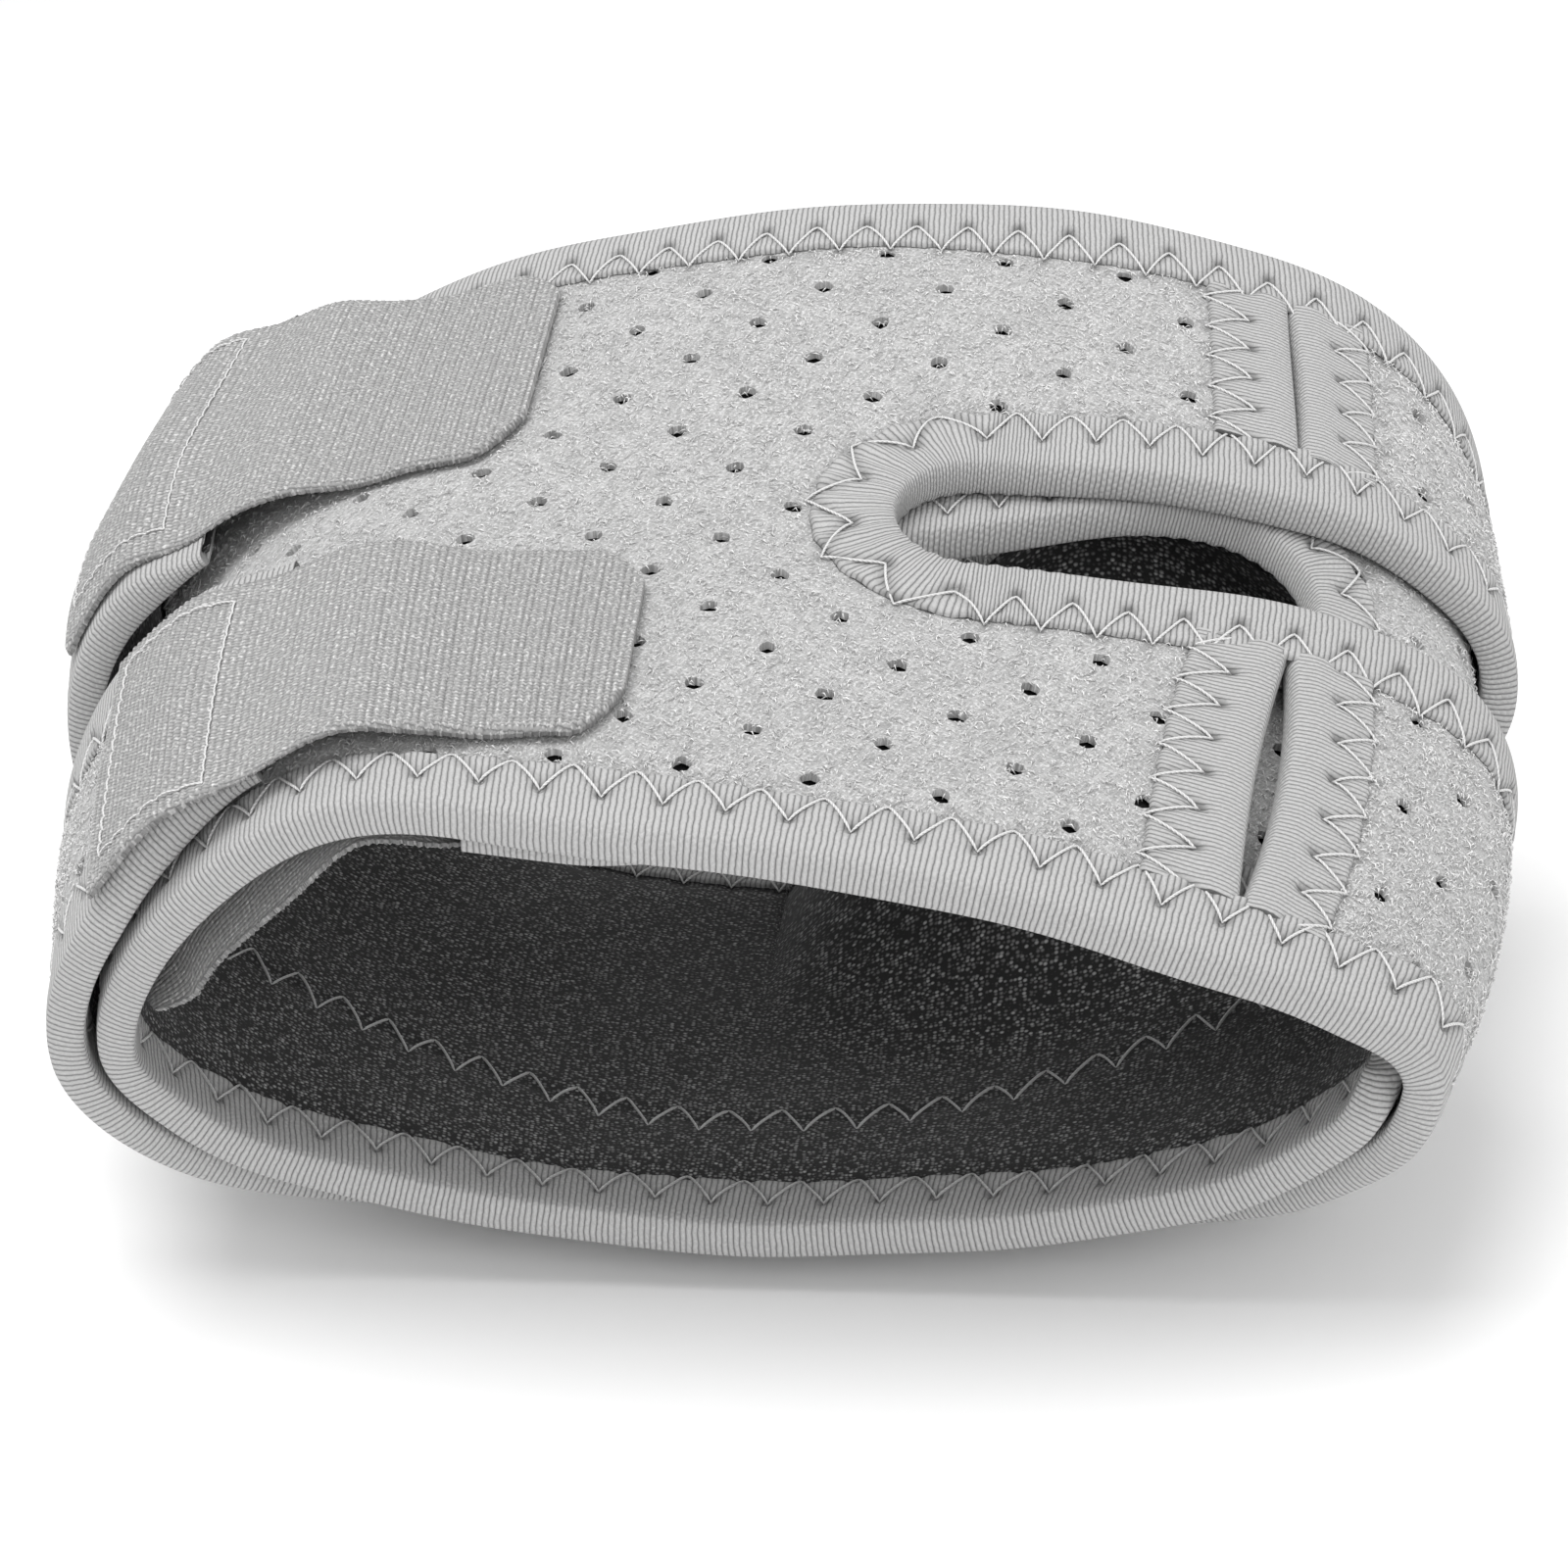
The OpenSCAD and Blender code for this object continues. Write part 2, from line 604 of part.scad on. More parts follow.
// Edges of each outer tab where it starts and at its free end, the angle over which it changes
// between them, and how far and over what angle the free end's corners are cut back
lower_tab_sides = [[-58, -14], [-50, -12]];
upper_tab_sides = [[6, 58], [10, 54]];
tab_narrows_over = 50;
tab_corner = [9, 5];
// Share of that cut taken off each outer tab's far corner: lower tab, upper tab
far_corner = [0.8, 0.6];
// Angle before the free end at which an outer tab is down on the lap below
tab_lands = 8;
// Fraction of the panel's length at which the near and the far tabs' heights are taken
near_row = 0.2;
far_row = 0.8;
// The sewn boxes: inset from the ends of an anchor, and sides along the arm
box_inset = 2.5;
lower_box = [-54, -18];
upper_box = [11, 54];
inner_box_span = [70, 78];
inner_near_box = [-47, -23];
inner_far_box = [17, 43];
// Sides of the inner tabs, and how far and over what angle their corners are cut back
inner_near_sides = [-53, -20];
inner_far_sides = [14, 46];
inner_corner = [7, 4];

// An outer tab lies on the strap end and then comes down on the lap below it. Its heights are
// measured from the strap's own lap. stops are the four angles named above
tab_base = tape_outer + thread_size + clearance;
function tab_low(p, v, stops) =
    tab_base
    - (lap_height(p, v) - lap_height(p - 360, v)) * ease((p - stops[2]) / (stops[3] - stops[2] - tab_lands));

// Its two edges, cut back round at the free end, the far corner less than the near one
function tab_clip(p, stops) =
    tab_corner[0] * pow(max(0, (p - stops[3] + tab_corner[1]) / tab_corner[1]), 2);
function tab_edges(p, stops, sides, far_share) =
    let (w = ease((p - stops[1]) / tab_narrows_over), clip = tab_clip(p, stops))
    [mix(sides[0][0], sides[1][0], w) + clip, mix(sides[0][1], sides[1][1], w) - clip * far_share];
function lower_tab_edges(p) = tab_edges(p, lower_stops, lower_tab_sides, far_corner[0]);
function upper_tab_edges(p) = tab_edges(p, upper_stops, upper_tab_sides, far_corner[1]);

module outer_tab(columns, edges, v, stops) {
    band(
        columns,
        [for (p = columns) edges(p)],
        [for (p = columns) tab_low(p, v, stops)],
        [for (p = columns) tab_low(p, v, stops) + tab_thick]
    );
}

function anchor_columns(stops) = steps(stops[1], stops[2] - hinge_gap / 2, 4);
function free_columns(stops) =
    concat(steps(stops[2] + hinge_gap / 2, stops[3] - 5, 9), steps(stops[3] - 4, stops[3], 4));

module lower_tab_anchor() {
    color(hook_grey)
        outer_tab(anchor_columns(lower_stops), function (p) lower_tab_edges(p), near_row, lower_stops);
}
module upper_tab_anchor() {
    color(hook_grey)
        outer_tab(anchor_columns(upper_stops), function (p) upper_tab_edges(p), far_row, upper_stops);
}
module lower_hook_tab() {
    color(hook_grey)
        outer_tab(free_columns(lower_stops), function (p) lower_tab_edges(p), near_row, lower_stops);
}
module upper_hook_tab() {
    color(hook_grey)
        outer_tab(free_columns(upper_stops), function (p) upper_tab_edges(p), far_row, upper_stops);
}
module lower_tab_stitching() {
    color(thread_grey)
        sewn_box(
            lower_stops[1] + box_inset, lower_stops[2] - box_inset, lower_box[0], lower_box[1],
            function (p) tab_low(p, near_row, lower_stops) + tab_thick
        );
}
module upper_tab_stitching() {
    color(thread_grey)
        sewn_box(
            upper_stops[1] + box_inset, upper_stops[2] - box_inset, upper_box[0], upper_box[1],
            function (p) tab_low(p, far_row, upper_stops) + tab_thick
        );
}

// An inner tab is sewn on the lining of an inner strap's end and runs on under the top layer
function inner_tab_high(p, v) =
    mix(
        lining_face - tape_thick - 0.15,
        lap_height(p + 360, v) - tape_outer - thread_size - 0.2,
        ease((inner_end + 1 - p) / 12)
    );
inner_tab_columns = concat(
    steps(inner_tab_end, inner_tab_end + inner_corner[1], 4),
    steps(inner_tab_end + inner_corner[1] + 2, inner_tab_start, 11)
);

function inner_clip(p) =
    inner_corner[0] * pow(max(0, (inner_tab_end + inner_corner[1] - p) / inner_corner[1]), 2);

module inner_tab(sides, v) {
    band(
        inner_tab_columns,
        [
            for (p = inner_tab_columns)
                let (clip = inner_clip(p))
                [sides[0] + clip, sides[1] - clip]
        ],
        [for (p = inner_tab_columns) inner_tab_high(p, v) - tab_thick],
        [for (p = inner_tab_columns) inner_tab_high(p, v)]
    );
}

module inner_near_hook_tab() { color(hook_grey) inner_tab(inner_near_sides, near_row); }
module inner_far_hook_tab() { color(hook_grey) inner_tab(inner_far_sides, far_row); }
module inner_near_tab_stitching() {
    color(thread_grey)
        sewn_box(
            inner_box_span[0], inner_box_span[1], inner_near_box[0], inner_near_box[1],
            function (p) inner_tab_high(p, near_row) - tab_thick - thread_size
        );
}
module inner_far_tab_stitching() {
    color(thread_grey)
        sewn_box(
            inner_box_span[0], inner_box_span[1], inner_far_box[0], inner_far_box[1],
            function (p) inner_tab_high(p, far_row) - tab_thick - thread_size
        );
}

body_face();
body_foam();
body_lining();
lower_strap_face();
lower_strap_foam();
lower_strap_lining();
upper_strap_face();
upper_strap_foam();
upper_strap_lining();
near_edge_binding();
far_edge_binding();
notch_binding();
inner_notch_binding();
lower_slot_left_binding();
lower_slot_right_binding();
upper_slot_left_binding();
upper_slot_right_binding();
near_edge_stitching();
far_edge_stitching();
notch_stitching();
inner_notch_stitching();
lower_slot_stitching();
upper_slot_stitching();
lining_seam_stitching();
inner_near_hook_tab();
inner_far_hook_tab();
inner_near_tab_stitching();
inner_far_tab_stitching();
lower_end_face();
lower_end_foam();
lower_end_lining();
lower_end_near_binding();
lower_end_notch_binding();
lower_end_stitching();
lower_tab_anchor();
lower_tab_stitching();
lower_hook_tab();
upper_end_face();
upper_end_foam();
upper_end_lining();
upper_end_far_binding();
upper_end_notch_binding();
upper_end_stitching();
upper_tab_anchor();
upper_tab_stitching();
upper_hook_tab();
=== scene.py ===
"""Wrap-around elbow brace, lying closed on its back on a pale floor.

Every cloth piece is laid out on the flat panel and wrapped by wrap_point(p, t, n): p is the angle
along the wrap in degrees, t the distance along the arm and n the height above the middle of the
fabric. Lengths are in millimetres until a mesh is made, which is in metres.
"""

import math

import bpy
import numpy as np
from mathutils import Matrix, Vector


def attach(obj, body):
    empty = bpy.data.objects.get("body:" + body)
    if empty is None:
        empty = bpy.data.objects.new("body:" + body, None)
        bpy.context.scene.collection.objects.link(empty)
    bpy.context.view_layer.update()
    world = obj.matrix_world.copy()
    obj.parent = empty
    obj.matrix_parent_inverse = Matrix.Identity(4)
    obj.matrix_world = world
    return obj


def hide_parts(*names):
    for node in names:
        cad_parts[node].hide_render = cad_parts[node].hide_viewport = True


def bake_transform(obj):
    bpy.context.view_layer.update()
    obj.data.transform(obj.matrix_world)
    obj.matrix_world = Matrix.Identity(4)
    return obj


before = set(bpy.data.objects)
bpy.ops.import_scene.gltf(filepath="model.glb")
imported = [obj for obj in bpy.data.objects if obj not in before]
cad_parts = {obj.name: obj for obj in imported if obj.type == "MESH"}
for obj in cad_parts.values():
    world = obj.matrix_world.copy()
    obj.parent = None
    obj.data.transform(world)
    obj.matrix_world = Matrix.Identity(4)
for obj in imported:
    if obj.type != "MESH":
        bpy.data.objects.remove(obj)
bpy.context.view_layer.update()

# ---- Sizes of the brace ----

BODY_LENGTH, CROOK_LENGTH, FOLD_LENGTH = 112.0, 16.0, 6.0
NEAR_HALF_WIDTH, FAR_HALF_WIDTH, SIDE_BULGE = 67.0, 77.0, 6.0
NEAR_RISE, FAR_RISE, NEAR_DROP, FAR_DROP = 25.0, 38.0, 25.0, 43.0
LAP_GAP, STRAP_GAP, STRAP_SLACK, STRAP_DRAW, SET_BACK = 5.0, 5.2, 5.0, 14.0, 12.0
CENTRE = np.array([-3.6, 0.0, 0.0])
FLOOR_GAP = 2.55

LINING_LOW, FOAM_LOW, FOAM_HIGH, FACE_HIGH = -1.65, -1.25, 1.05, 1.65
TAPE_INNER, TAPE_OUTER, TAPE_ROLL, TAPE_WIDTH = 1.68, 2.2, 0.9, 9.2
ZIG_NEAR, ZIG_FAR, HALF_STITCH, THREAD_RADIUS = 4.6, 9.8, 3.2, 0.17
TAB_THICK = 1.0

INNER_END, INNER_NOTCH_END, NOTCH_END, SLOT = 66.0, 142.0, 459.0, 497.0
NOTCH_HALF, INNER_NOTCH_HALF = 10.5, 11.5
LOWER_SLOT_GAP, UPPER_SLOT_GAP = 2.4, 0.6
LOWER_STOPS = (768.0, 748.0, 766.0, 800.0)
UPPER_STOPS = (754.0, 733.0, 752.0, 786.0)
INNER_TAB = (12.0, 80.0)

HOLE_SPACING, HOLE_RADIUS = 7.5, 1.2
CELL = HOLE_SPACING / 6
LATTICE_S, LATTICE_T = -6.3, 0.75

rng = np.random.default_rng(11)


# ---- The wrapped surface ----


def mix(a, b, w):
    return a + (b - a) * w


def ease(x):
    """A smooth step from 0 at x = 0 to 1 at x = 1."""
    c = np.clip(x, 0, 1)
    return c * c * (3 - 2 * c)


def bell(x):
    return np.exp(-x * x)


def sin_deg(a):
    return np.sin(np.radians(a))


def cos_deg(a):
    return np.cos(np.radians(a))


def half_length(p):
    return (BODY_LENGTH + CROOK_LENGTH * sin_deg(p) - FOLD_LENGTH * cos_deg(p)) / 2


def lap_height(p, v):
    """Height of each lap above the first: one gap for the second lap, another for the outer
    straps, and a bulge where the upper strap turns round the left fold."""
    bulge = STRAP_SLACK * ease((v - 0.35) / 0.4) * ease((p - 650) / 70)
    bulge = bulge * (1 - ease((p - 738) / 40))
    return LAP_GAP * ease((p - 300) / 120) + STRAP_GAP * ease((p - 650) / 120) + bulge


def tuck(p, v):
    """How far the underside has sunk in, as a share of its depth: a skewed step across its right
    half that grows along the arm and fades towards the right fold."""
    across = np.clip((-cos_deg(p) + 0.085) / 0.56, 0, 1)
    step = 1 - (1 - across**1.2) ** 2
    return 1.36 * ease((v - 0.35) / 0.62) * step * (1 - 0.5 * ease((-cos_deg(p) - 0.5) / 0.5))


def section(p, v):
    """Middle line of the first lap at angle p and fraction v of the length. Sideways it is the half
    width times the cosine; upwards a power of the sine, leaning one way, with a bunched ridge."""
    swell = 4 * v * (1 - v)
    half = mix(NEAR_HALF_WIDTH, FAR_HALF_WIDTH, v) + SIDE_BULGE * swell
    rise = mix(NEAR_RISE, FAR_RISE, v) - 2.5 * swell
    drop = mix(NEAR_DROP, FAR_DROP, v)
    turned = p - 360 * np.floor((p + 180) / 360)
    s = sin_deg(p)
    top = rise * (1 + mix(0.35, -0.06, v) * cos_deg(p)) * np.abs(s) ** mix(1.2, 0.75, v)
    top = top + 4.5 * (1 - v) * bell((turned - 52) / 20)
    z = np.where(s >= 0, top, -drop * (1 - tuck(p, v)) * np.abs(s) ** 1.1)
    return -half * cos_deg(p), z + drop + LAP_GAP + FLOOR_GAP


def ripple(p, t):
    """Slow unevenness that all laps share, a sum of three sine waves that repeats every turn."""
    return (
        0.26 * sin_deg(3 * p + 4.1 * t)
        + 0.2 * sin_deg(7 * p - 5.3 * t + 60)
        + 0.14 * sin_deg(13 * p + 8.7 * t + 200)
    )


def pressed(p, t, n):
    """Height n where the outer straps are pressed thin over their last 10 degrees, and so are the
    tabs sewn on them, which recover over the next 14."""
    end = np.where(t < 2, LOWER_STOPS[0], UPPER_STOPS[0])
    press = ease((p - end + 10) / 10) * (1 - ease((p - end) / 14))
    return LINING_LOW + (n - LINING_LOW) * (1 - 0.6 * press)


def wrap_point(p, t, n):
    """The point at height n along the normal of the section's line, measured from its own lap."""
    p, t, n = np.broadcast_arrays(*(np.asarray(x, float) for x in (p, t, n)))
    n = pressed(p, t, n)
    v = np.clip(0.5 + t / (2 * half_length(p)), 0, 1)
    x, z = section(p, v)
    x1, z1 = section(p + 1.2, v)
    x0, z0 = section(p - 1.2, v)
    length = np.hypot(x1 - x0, z1 - z0)
    off = lap_height(p, v) + n + ripple(p, t)
    return np.stack([x - (z1 - z0) / length * off, t, z + (x1 - x0) / length * off], -1) - CENTRE


def mm_per_degree(p, t):
    return np.linalg.norm(wrap_point(p + 1, t, 0) - wrap_point(p - 1, t, 0), axis=-1) / 2


ANGLES = np.arange(0, 830, 0.1)
_steps = np.linalg.norm(np.diff(wrap_point(ANGLES, 0, 0), axis=0), axis=1)
LENGTHS = np.concatenate([[0], np.cumsum(_steps)])
LENGTHS -= np.interp(450, ANGLES, LENGTHS)


def angle_at(s):
    return np.interp(s, LENGTHS, ANGLES)


def length_at(p):
    return np.interp(p, ANGLES, LENGTHS)


# ---- Outlines of the flat panel ----


def drawn_in(p):
    return np.where((p > 540) & (p < 720), STRAP_DRAW * sin_deg(p - 540) ** 2, 0.0)


def near_edge(p):
    """The forearm edge; under the top layer the inner one is set back."""
    back = SET_BACK * (ease((196 - p) / 40) - 0.5 * ease((98 - p) / 22))
    return -half_length(p) + drawn_in(p) + back + 7 * ease((p - 742) / 26)


def far_edge(p):
    return half_length(p)


def round_end(x, h):
    """Half width of a round-ended notch at distance x from its closed end."""
    return np.where(x >= h, h, np.sqrt(np.clip(h * h - (h - x) ** 2, 0, None)))


NOTCH_SCALE = float(mm_per_degree(NOTCH_END + 5, 0.0))
INNER_SCALE = float(mm_per_degree(INNER_NOTCH_END - 5, 0.0))
NOTCH_CENTRE = NOTCH_END + NOTCH_HALF / NOTCH_SCALE
INNER_CENTRE = INNER_NOTCH_END - INNER_NOTCH_HALF / INNER_SCALE


def notch_middle(p):
    return 1 + 6.5 * ease((p - NOTCH_END) / 50)


def notch_low(p):
    half = round_end((p - NOTCH_END) * NOTCH_SCALE, NOTCH_HALF)
    return notch_middle(p) - half - 8 * ease((p - 520) / 220) + drawn_in(p)


def notch_high(p):
    half = round_end((p - NOTCH_END) * NOTCH_SCALE, NOTCH_HALF)
    return notch_middle(p) + half - 13 * ease((p - 520) / 220)


def inner_middle(p):
    return 6 - 12 * ease((131 - p) / 40)


def inner_half(p):
    x = (INNER_NOTCH_END - p) * INNER_SCALE
    return round_end(x, INNER_NOTCH_HALF) - 3.5 * ease((131 - p) / 40)


def inner_low(p):
    return inner_middle(p) - inner_half(p)


def inner_high(p):
    return inner_middle(p) + inner_half(p)


def seam_line(p):
    return -14 - 11 * bell((p - 272) / 32)


def edge_distance(p, t):
    """Distance from the nearest bound edge of the panel, taking each notch as a circle and a pair
    of sides, and each slot as a line across."""
    d = np.minimum(t - near_edge(p), far_edge(p) - t)
    beside = np.where(t < notch_middle(p), notch_low(p) - t, t - notch_high(p))
    ahead = np.hypot((NOTCH_CENTRE - p) * NOTCH_SCALE, t - notch_middle(p)) - NOTCH_HALF
    d = np.minimum(d, np.where(p > NOTCH_CENTRE, beside, ahead))
    beside = np.where(t < inner_middle(p), inner_low(p) - t, t - inner_high(p))
    ahead = np.hypot((p - INNER_CENTRE) * INNER_SCALE, t - inner_middle(p)) - INNER_NOTCH_HALF
    d = np.minimum(d, np.where(p < INNER_CENTRE, beside, ahead))
    gap = np.where(t < notch_middle(p), LOWER_SLOT_GAP, UPPER_SLOT_GAP) * 0.6
    return np.minimum(d, np.abs(p - SLOT) * mm_per_degree(SLOT, t) - gap)


# ---- Paths along the edges, rows of angle, distance and inward direction, fabric on the left ----


def along_edge(p0, p1, edge, inward):
    p = np.linspace(p0, p1, 400)
    return np.stack([p, edge(p), 0 * p, 0 * p + inward], 1)


def round_path(tip, middle, h, scale, side):
    """Round the closed end of a notch, a half circle that opens towards larger angles where side
    is +1."""
    a = np.radians(np.linspace(89, -89, 90))
    p = tip + side * h * (1 - np.cos(a)) / scale
    return np.stack([p, middle(p) - side * h * np.sin(a), -side * np.cos(a), -side * np.sin(a)], 1)


def across_edge(p, t0, t1, inward):
    t = np.linspace(t0, t1, 100)
    return np.stack([0 * t + p, t, 0 * t + inward, 0 * t], 1)


def even(path, spacing):
    """The same path in equal steps close to the spacing, and the distance run at each."""
    gaps = np.linalg.norm(np.diff(wrap_point(path[:, 0], path[:, 1], 0), axis=0), axis=1)
    reach = np.concatenate([[0], np.cumsum(gaps)])
    run = np.linspace(0, reach[-1], max(2, round(reach[-1] / spacing)) + 1)
    rows = np.stack([np.interp(run, reach, path[:, k]) for k in range(4)], 1)
    rows[:, 2:] /= np.linalg.norm(rows[:, 2:], axis=1, keepdims=True)
    return rows, run


def place(rows, u, n):
    """Points at distance u inwards from each row of a path, at height n."""
    scale = mm_per_degree(rows[:, 0], rows[:, 1])[:, None]
    return wrap_point(rows[:, :1] + u * rows[:, 2:3] / scale, rows[:, 1:2] + u * rows[:, 3:4], n)


SPLIT_S = LATTICE_S + 2 * CELL * round((float(length_at(640)) - LATTICE_S) / (2 * CELL))
SPLIT = float(angle_at(SPLIT_S))

NOTCH_ROUND = round_path(NOTCH_END, notch_middle, NOTCH_HALF, NOTCH_SCALE, 1)
INNER_ROUND = round_path(
    INNER_NOTCH_END, inner_middle, INNER_NOTCH_HALF, INNER_SCALE, -1
)


def slot_path(side, t0, t1, gap):
    """One side of a slot, bowed so that the slot is widest in its middle and closes at its ends."""
    path = across_edge(SLOT, t0, t1, side)
    w = np.linspace(0, 1, len(path))
    shift = gap * 2.3 * w * (1 - w) + TAPE_ROLL + 0.05
    path[:, 0] += side * shift / float(mm_per_degree(SLOT, (t0 + t1) / 2))
    return path


SLOT_MARGIN = TAPE_WIDTH - 1.2
LOWER_SLOT_ENDS = (
    float(near_edge(SLOT)) + SLOT_MARGIN,
    float(notch_low(SLOT)) - SLOT_MARGIN,
)
UPPER_SLOT_ENDS = (
    float(notch_high(SLOT)) + SLOT_MARGIN,
    float(far_edge(SLOT)) - SLOT_MARGIN,
)

PATHS = {
    "near_edge": along_edge(INNER_END, SPLIT, near_edge, 1),
    "far_edge": along_edge(SPLIT, INNER_END, far_edge, -1),
    "notch": np.concatenate(
        [
            along_edge(SPLIT, NOTCH_CENTRE, notch_low, -1),
            NOTCH_ROUND,
            along_edge(NOTCH_CENTRE, SPLIT, notch_high, 1),
        ]
    ),
    "inner_notch": np.concatenate(
        [
            along_edge(INNER_END, INNER_CENTRE, inner_high, 1),
            INNER_ROUND,
            along_edge(INNER_CENTRE, INNER_END, inner_low, -1),
        ]
    ),
    "lower_end_near": along_edge(SPLIT, LOWER_STOPS[0], near_edge, 1),
    "lower_end_notch": along_edge(LOWER_STOPS[0], SPLIT, notch_low, -1),
    "upper_end_notch": along_edge(SPLIT, UPPER_STOPS[0], notch_high, 1),
    "upper_end_far": along_edge(UPPER_STOPS[0], SPLIT, far_edge, -1),
    "lower_slot_left": slot_path(-1, *LOWER_SLOT_ENDS, LOWER_SLOT_GAP),
    "lower_slot_right": slot_path(1, *LOWER_SLOT_ENDS[::-1], LOWER_SLOT_GAP),
    "upper_slot_left": slot_path(-1, *UPPER_SLOT_ENDS, UPPER_SLOT_GAP),
    "upper_slot_right": slot_path(1, *UPPER_SLOT_ENDS[::-1], UPPER_SLOT_GAP),
}


def half_stitch(run):
    """Length of half a zigzag that divides a path evenly."""
    return run[-1] / max(2, round(run[-1] / HALF_STITCH))


def zigzag_at(phase):
    """0 at even phases and 1 at odd ones, in straight lines between."""
    return 1 - np.abs(1 - phase % 2)


def needle_points():
    """Flat positions, as length and distance, of the zigzag's needle holes beside the tapes."""
    found = []
    for name, path in PATHS.items():
        rows, run = even(path, 0.4)
        half = half_stitch(run)
        at = np.arange(1, int(run[-1] / half) + 1, 2) * half
        p, t, dp, dt = (np.interp(at, run, rows[:, k]) for k in range(4))
        far = ZIG_FAR - 2 if name == "inner_notch" else ZIG_FAR
        found.append(np.stack([length_at(p) + far * dp, t + far * dt], 1))
    return found


NEEDLES = needle_points()


def needle_distance(s, t):
    """Distance from the nearest needle hole beside a tape."""
    flat = np.stack([s.ravel(), t.ravel()], 1)
    near = np.full(len(flat), 99.0)
    for points in NEEDLES:
        for block in np.array_split(points, max(1, len(points) // 40)):
            d = np.hypot(flat[:, :1] - block[:, 0], flat[:, 1:] - block[:, 1])
            near = np.minimum(near, d.min(1))
    return near.reshape(s.shape)


# ---- Meshes ----


def add_mesh(name, points, quads, uv, material, shade=None, crease=50):
    """A mesh object from points in mm and rows of face corners, with uv in mm for each point."""
    points = np.asarray(points, float).reshape(-1, 3)
    quads = np.asarray(quads, np.int32)
    corners = quads.shape[1]
    used = np.unique(quads)
    rank = np.full(len(points), -1, np.int32)
    rank[used] = np.arange(len(used))
    quads = rank[quads]
    mesh = bpy.data.meshes.new(name)
    mesh.vertices.add(len(used))
    mesh.vertices.foreach_set("co", (points[used] / 1000).astype(np.float32).ravel())
    mesh.loops.add(quads.size)
    mesh.loops.foreach_set("vertex_index", quads.ravel())
    mesh.polygons.add(len(quads))
    mesh.polygons.foreach_set("loop_start", np.arange(0, quads.size, corners, dtype=np.int32))
    mesh.update(calc_edges=True)
    layer = mesh.uv_layers.new(name="UVMap")
    flat = np.asarray(uv, float).reshape(-1, 2)[used][quads.ravel()]
    layer.data.foreach_set("uv", flat.astype(np.float32).ravel())
    values = np.ones(len(points)) if shade is None else np.asarray(shade, float).ravel()
    attribute = mesh.attributes.new("shade", "FLOAT", "POINT")
    attribute.data.foreach_set("value", values[used].astype(np.float32))
    mesh.shade_smooth()
    mesh.set_sharp_from_angle(angle=math.radians(crease))
    mesh.materials.append(material)
    obj = bpy.data.objects.new(name, mesh)
    bpy.context.scene.collection.objects.link(obj)
    return obj


def slab_faces(cells, rows):
    """Faces of a closed slab over a lattice: the top, the bottom, and a wall wherever a present
    cell has no neighbour. Points are numbered with the bottom sheet after the top one."""
    cols = cells.shape[0] + 1
    below = cols * rows

    def at(i, j):
        return i * rows + j

    i, j = np.nonzero(cells)
    top = np.stack([at(i, j), at(i + 1, j), at(i + 1, j + 1), at(i, j + 1)], 1)
    faces = [top, top[:, ::-1] + below]
    padded = np.pad(cells, 1)
    corners = ((0, 0), (1, 0), (1, 1), (0, 1))
    for k, (di, dj) in enumerate(((0, -1), (1, 0), (0, 1), (-1, 0))):
        alone = cells & ~padded[1 + di :, 1 + dj :][: cells.shape[0], : cells.shape[1]]
        i, j = np.nonzero(alone)
        (a, b), (c, d) = corners[k], corners[(k + 1) % 4]
        first, second = at(i + a, j + b), at(i + c, j + d)
        faces.append(np.stack([first + below, second + below, second, first], 1))
    return np.concatenate(faces)


def lattice(s0, s1, cell):
    """Lines of a square lattice over a stretch of the panel."""
    first, last = math.floor((s0 - LATTICE_S) / cell), math.ceil((s1 - LATTICE_S) / cell)
    s = LATTICE_S + np.arange(first, last + 1) * cell
    t = LATTICE_T + np.arange(-round(66.25 / cell), round(66.25 / cell) + 1) * cell
    return s, t, np.arange(first, last + 1), np.arange(-round(66.25 / cell), round(66.25 / cell) + 1)


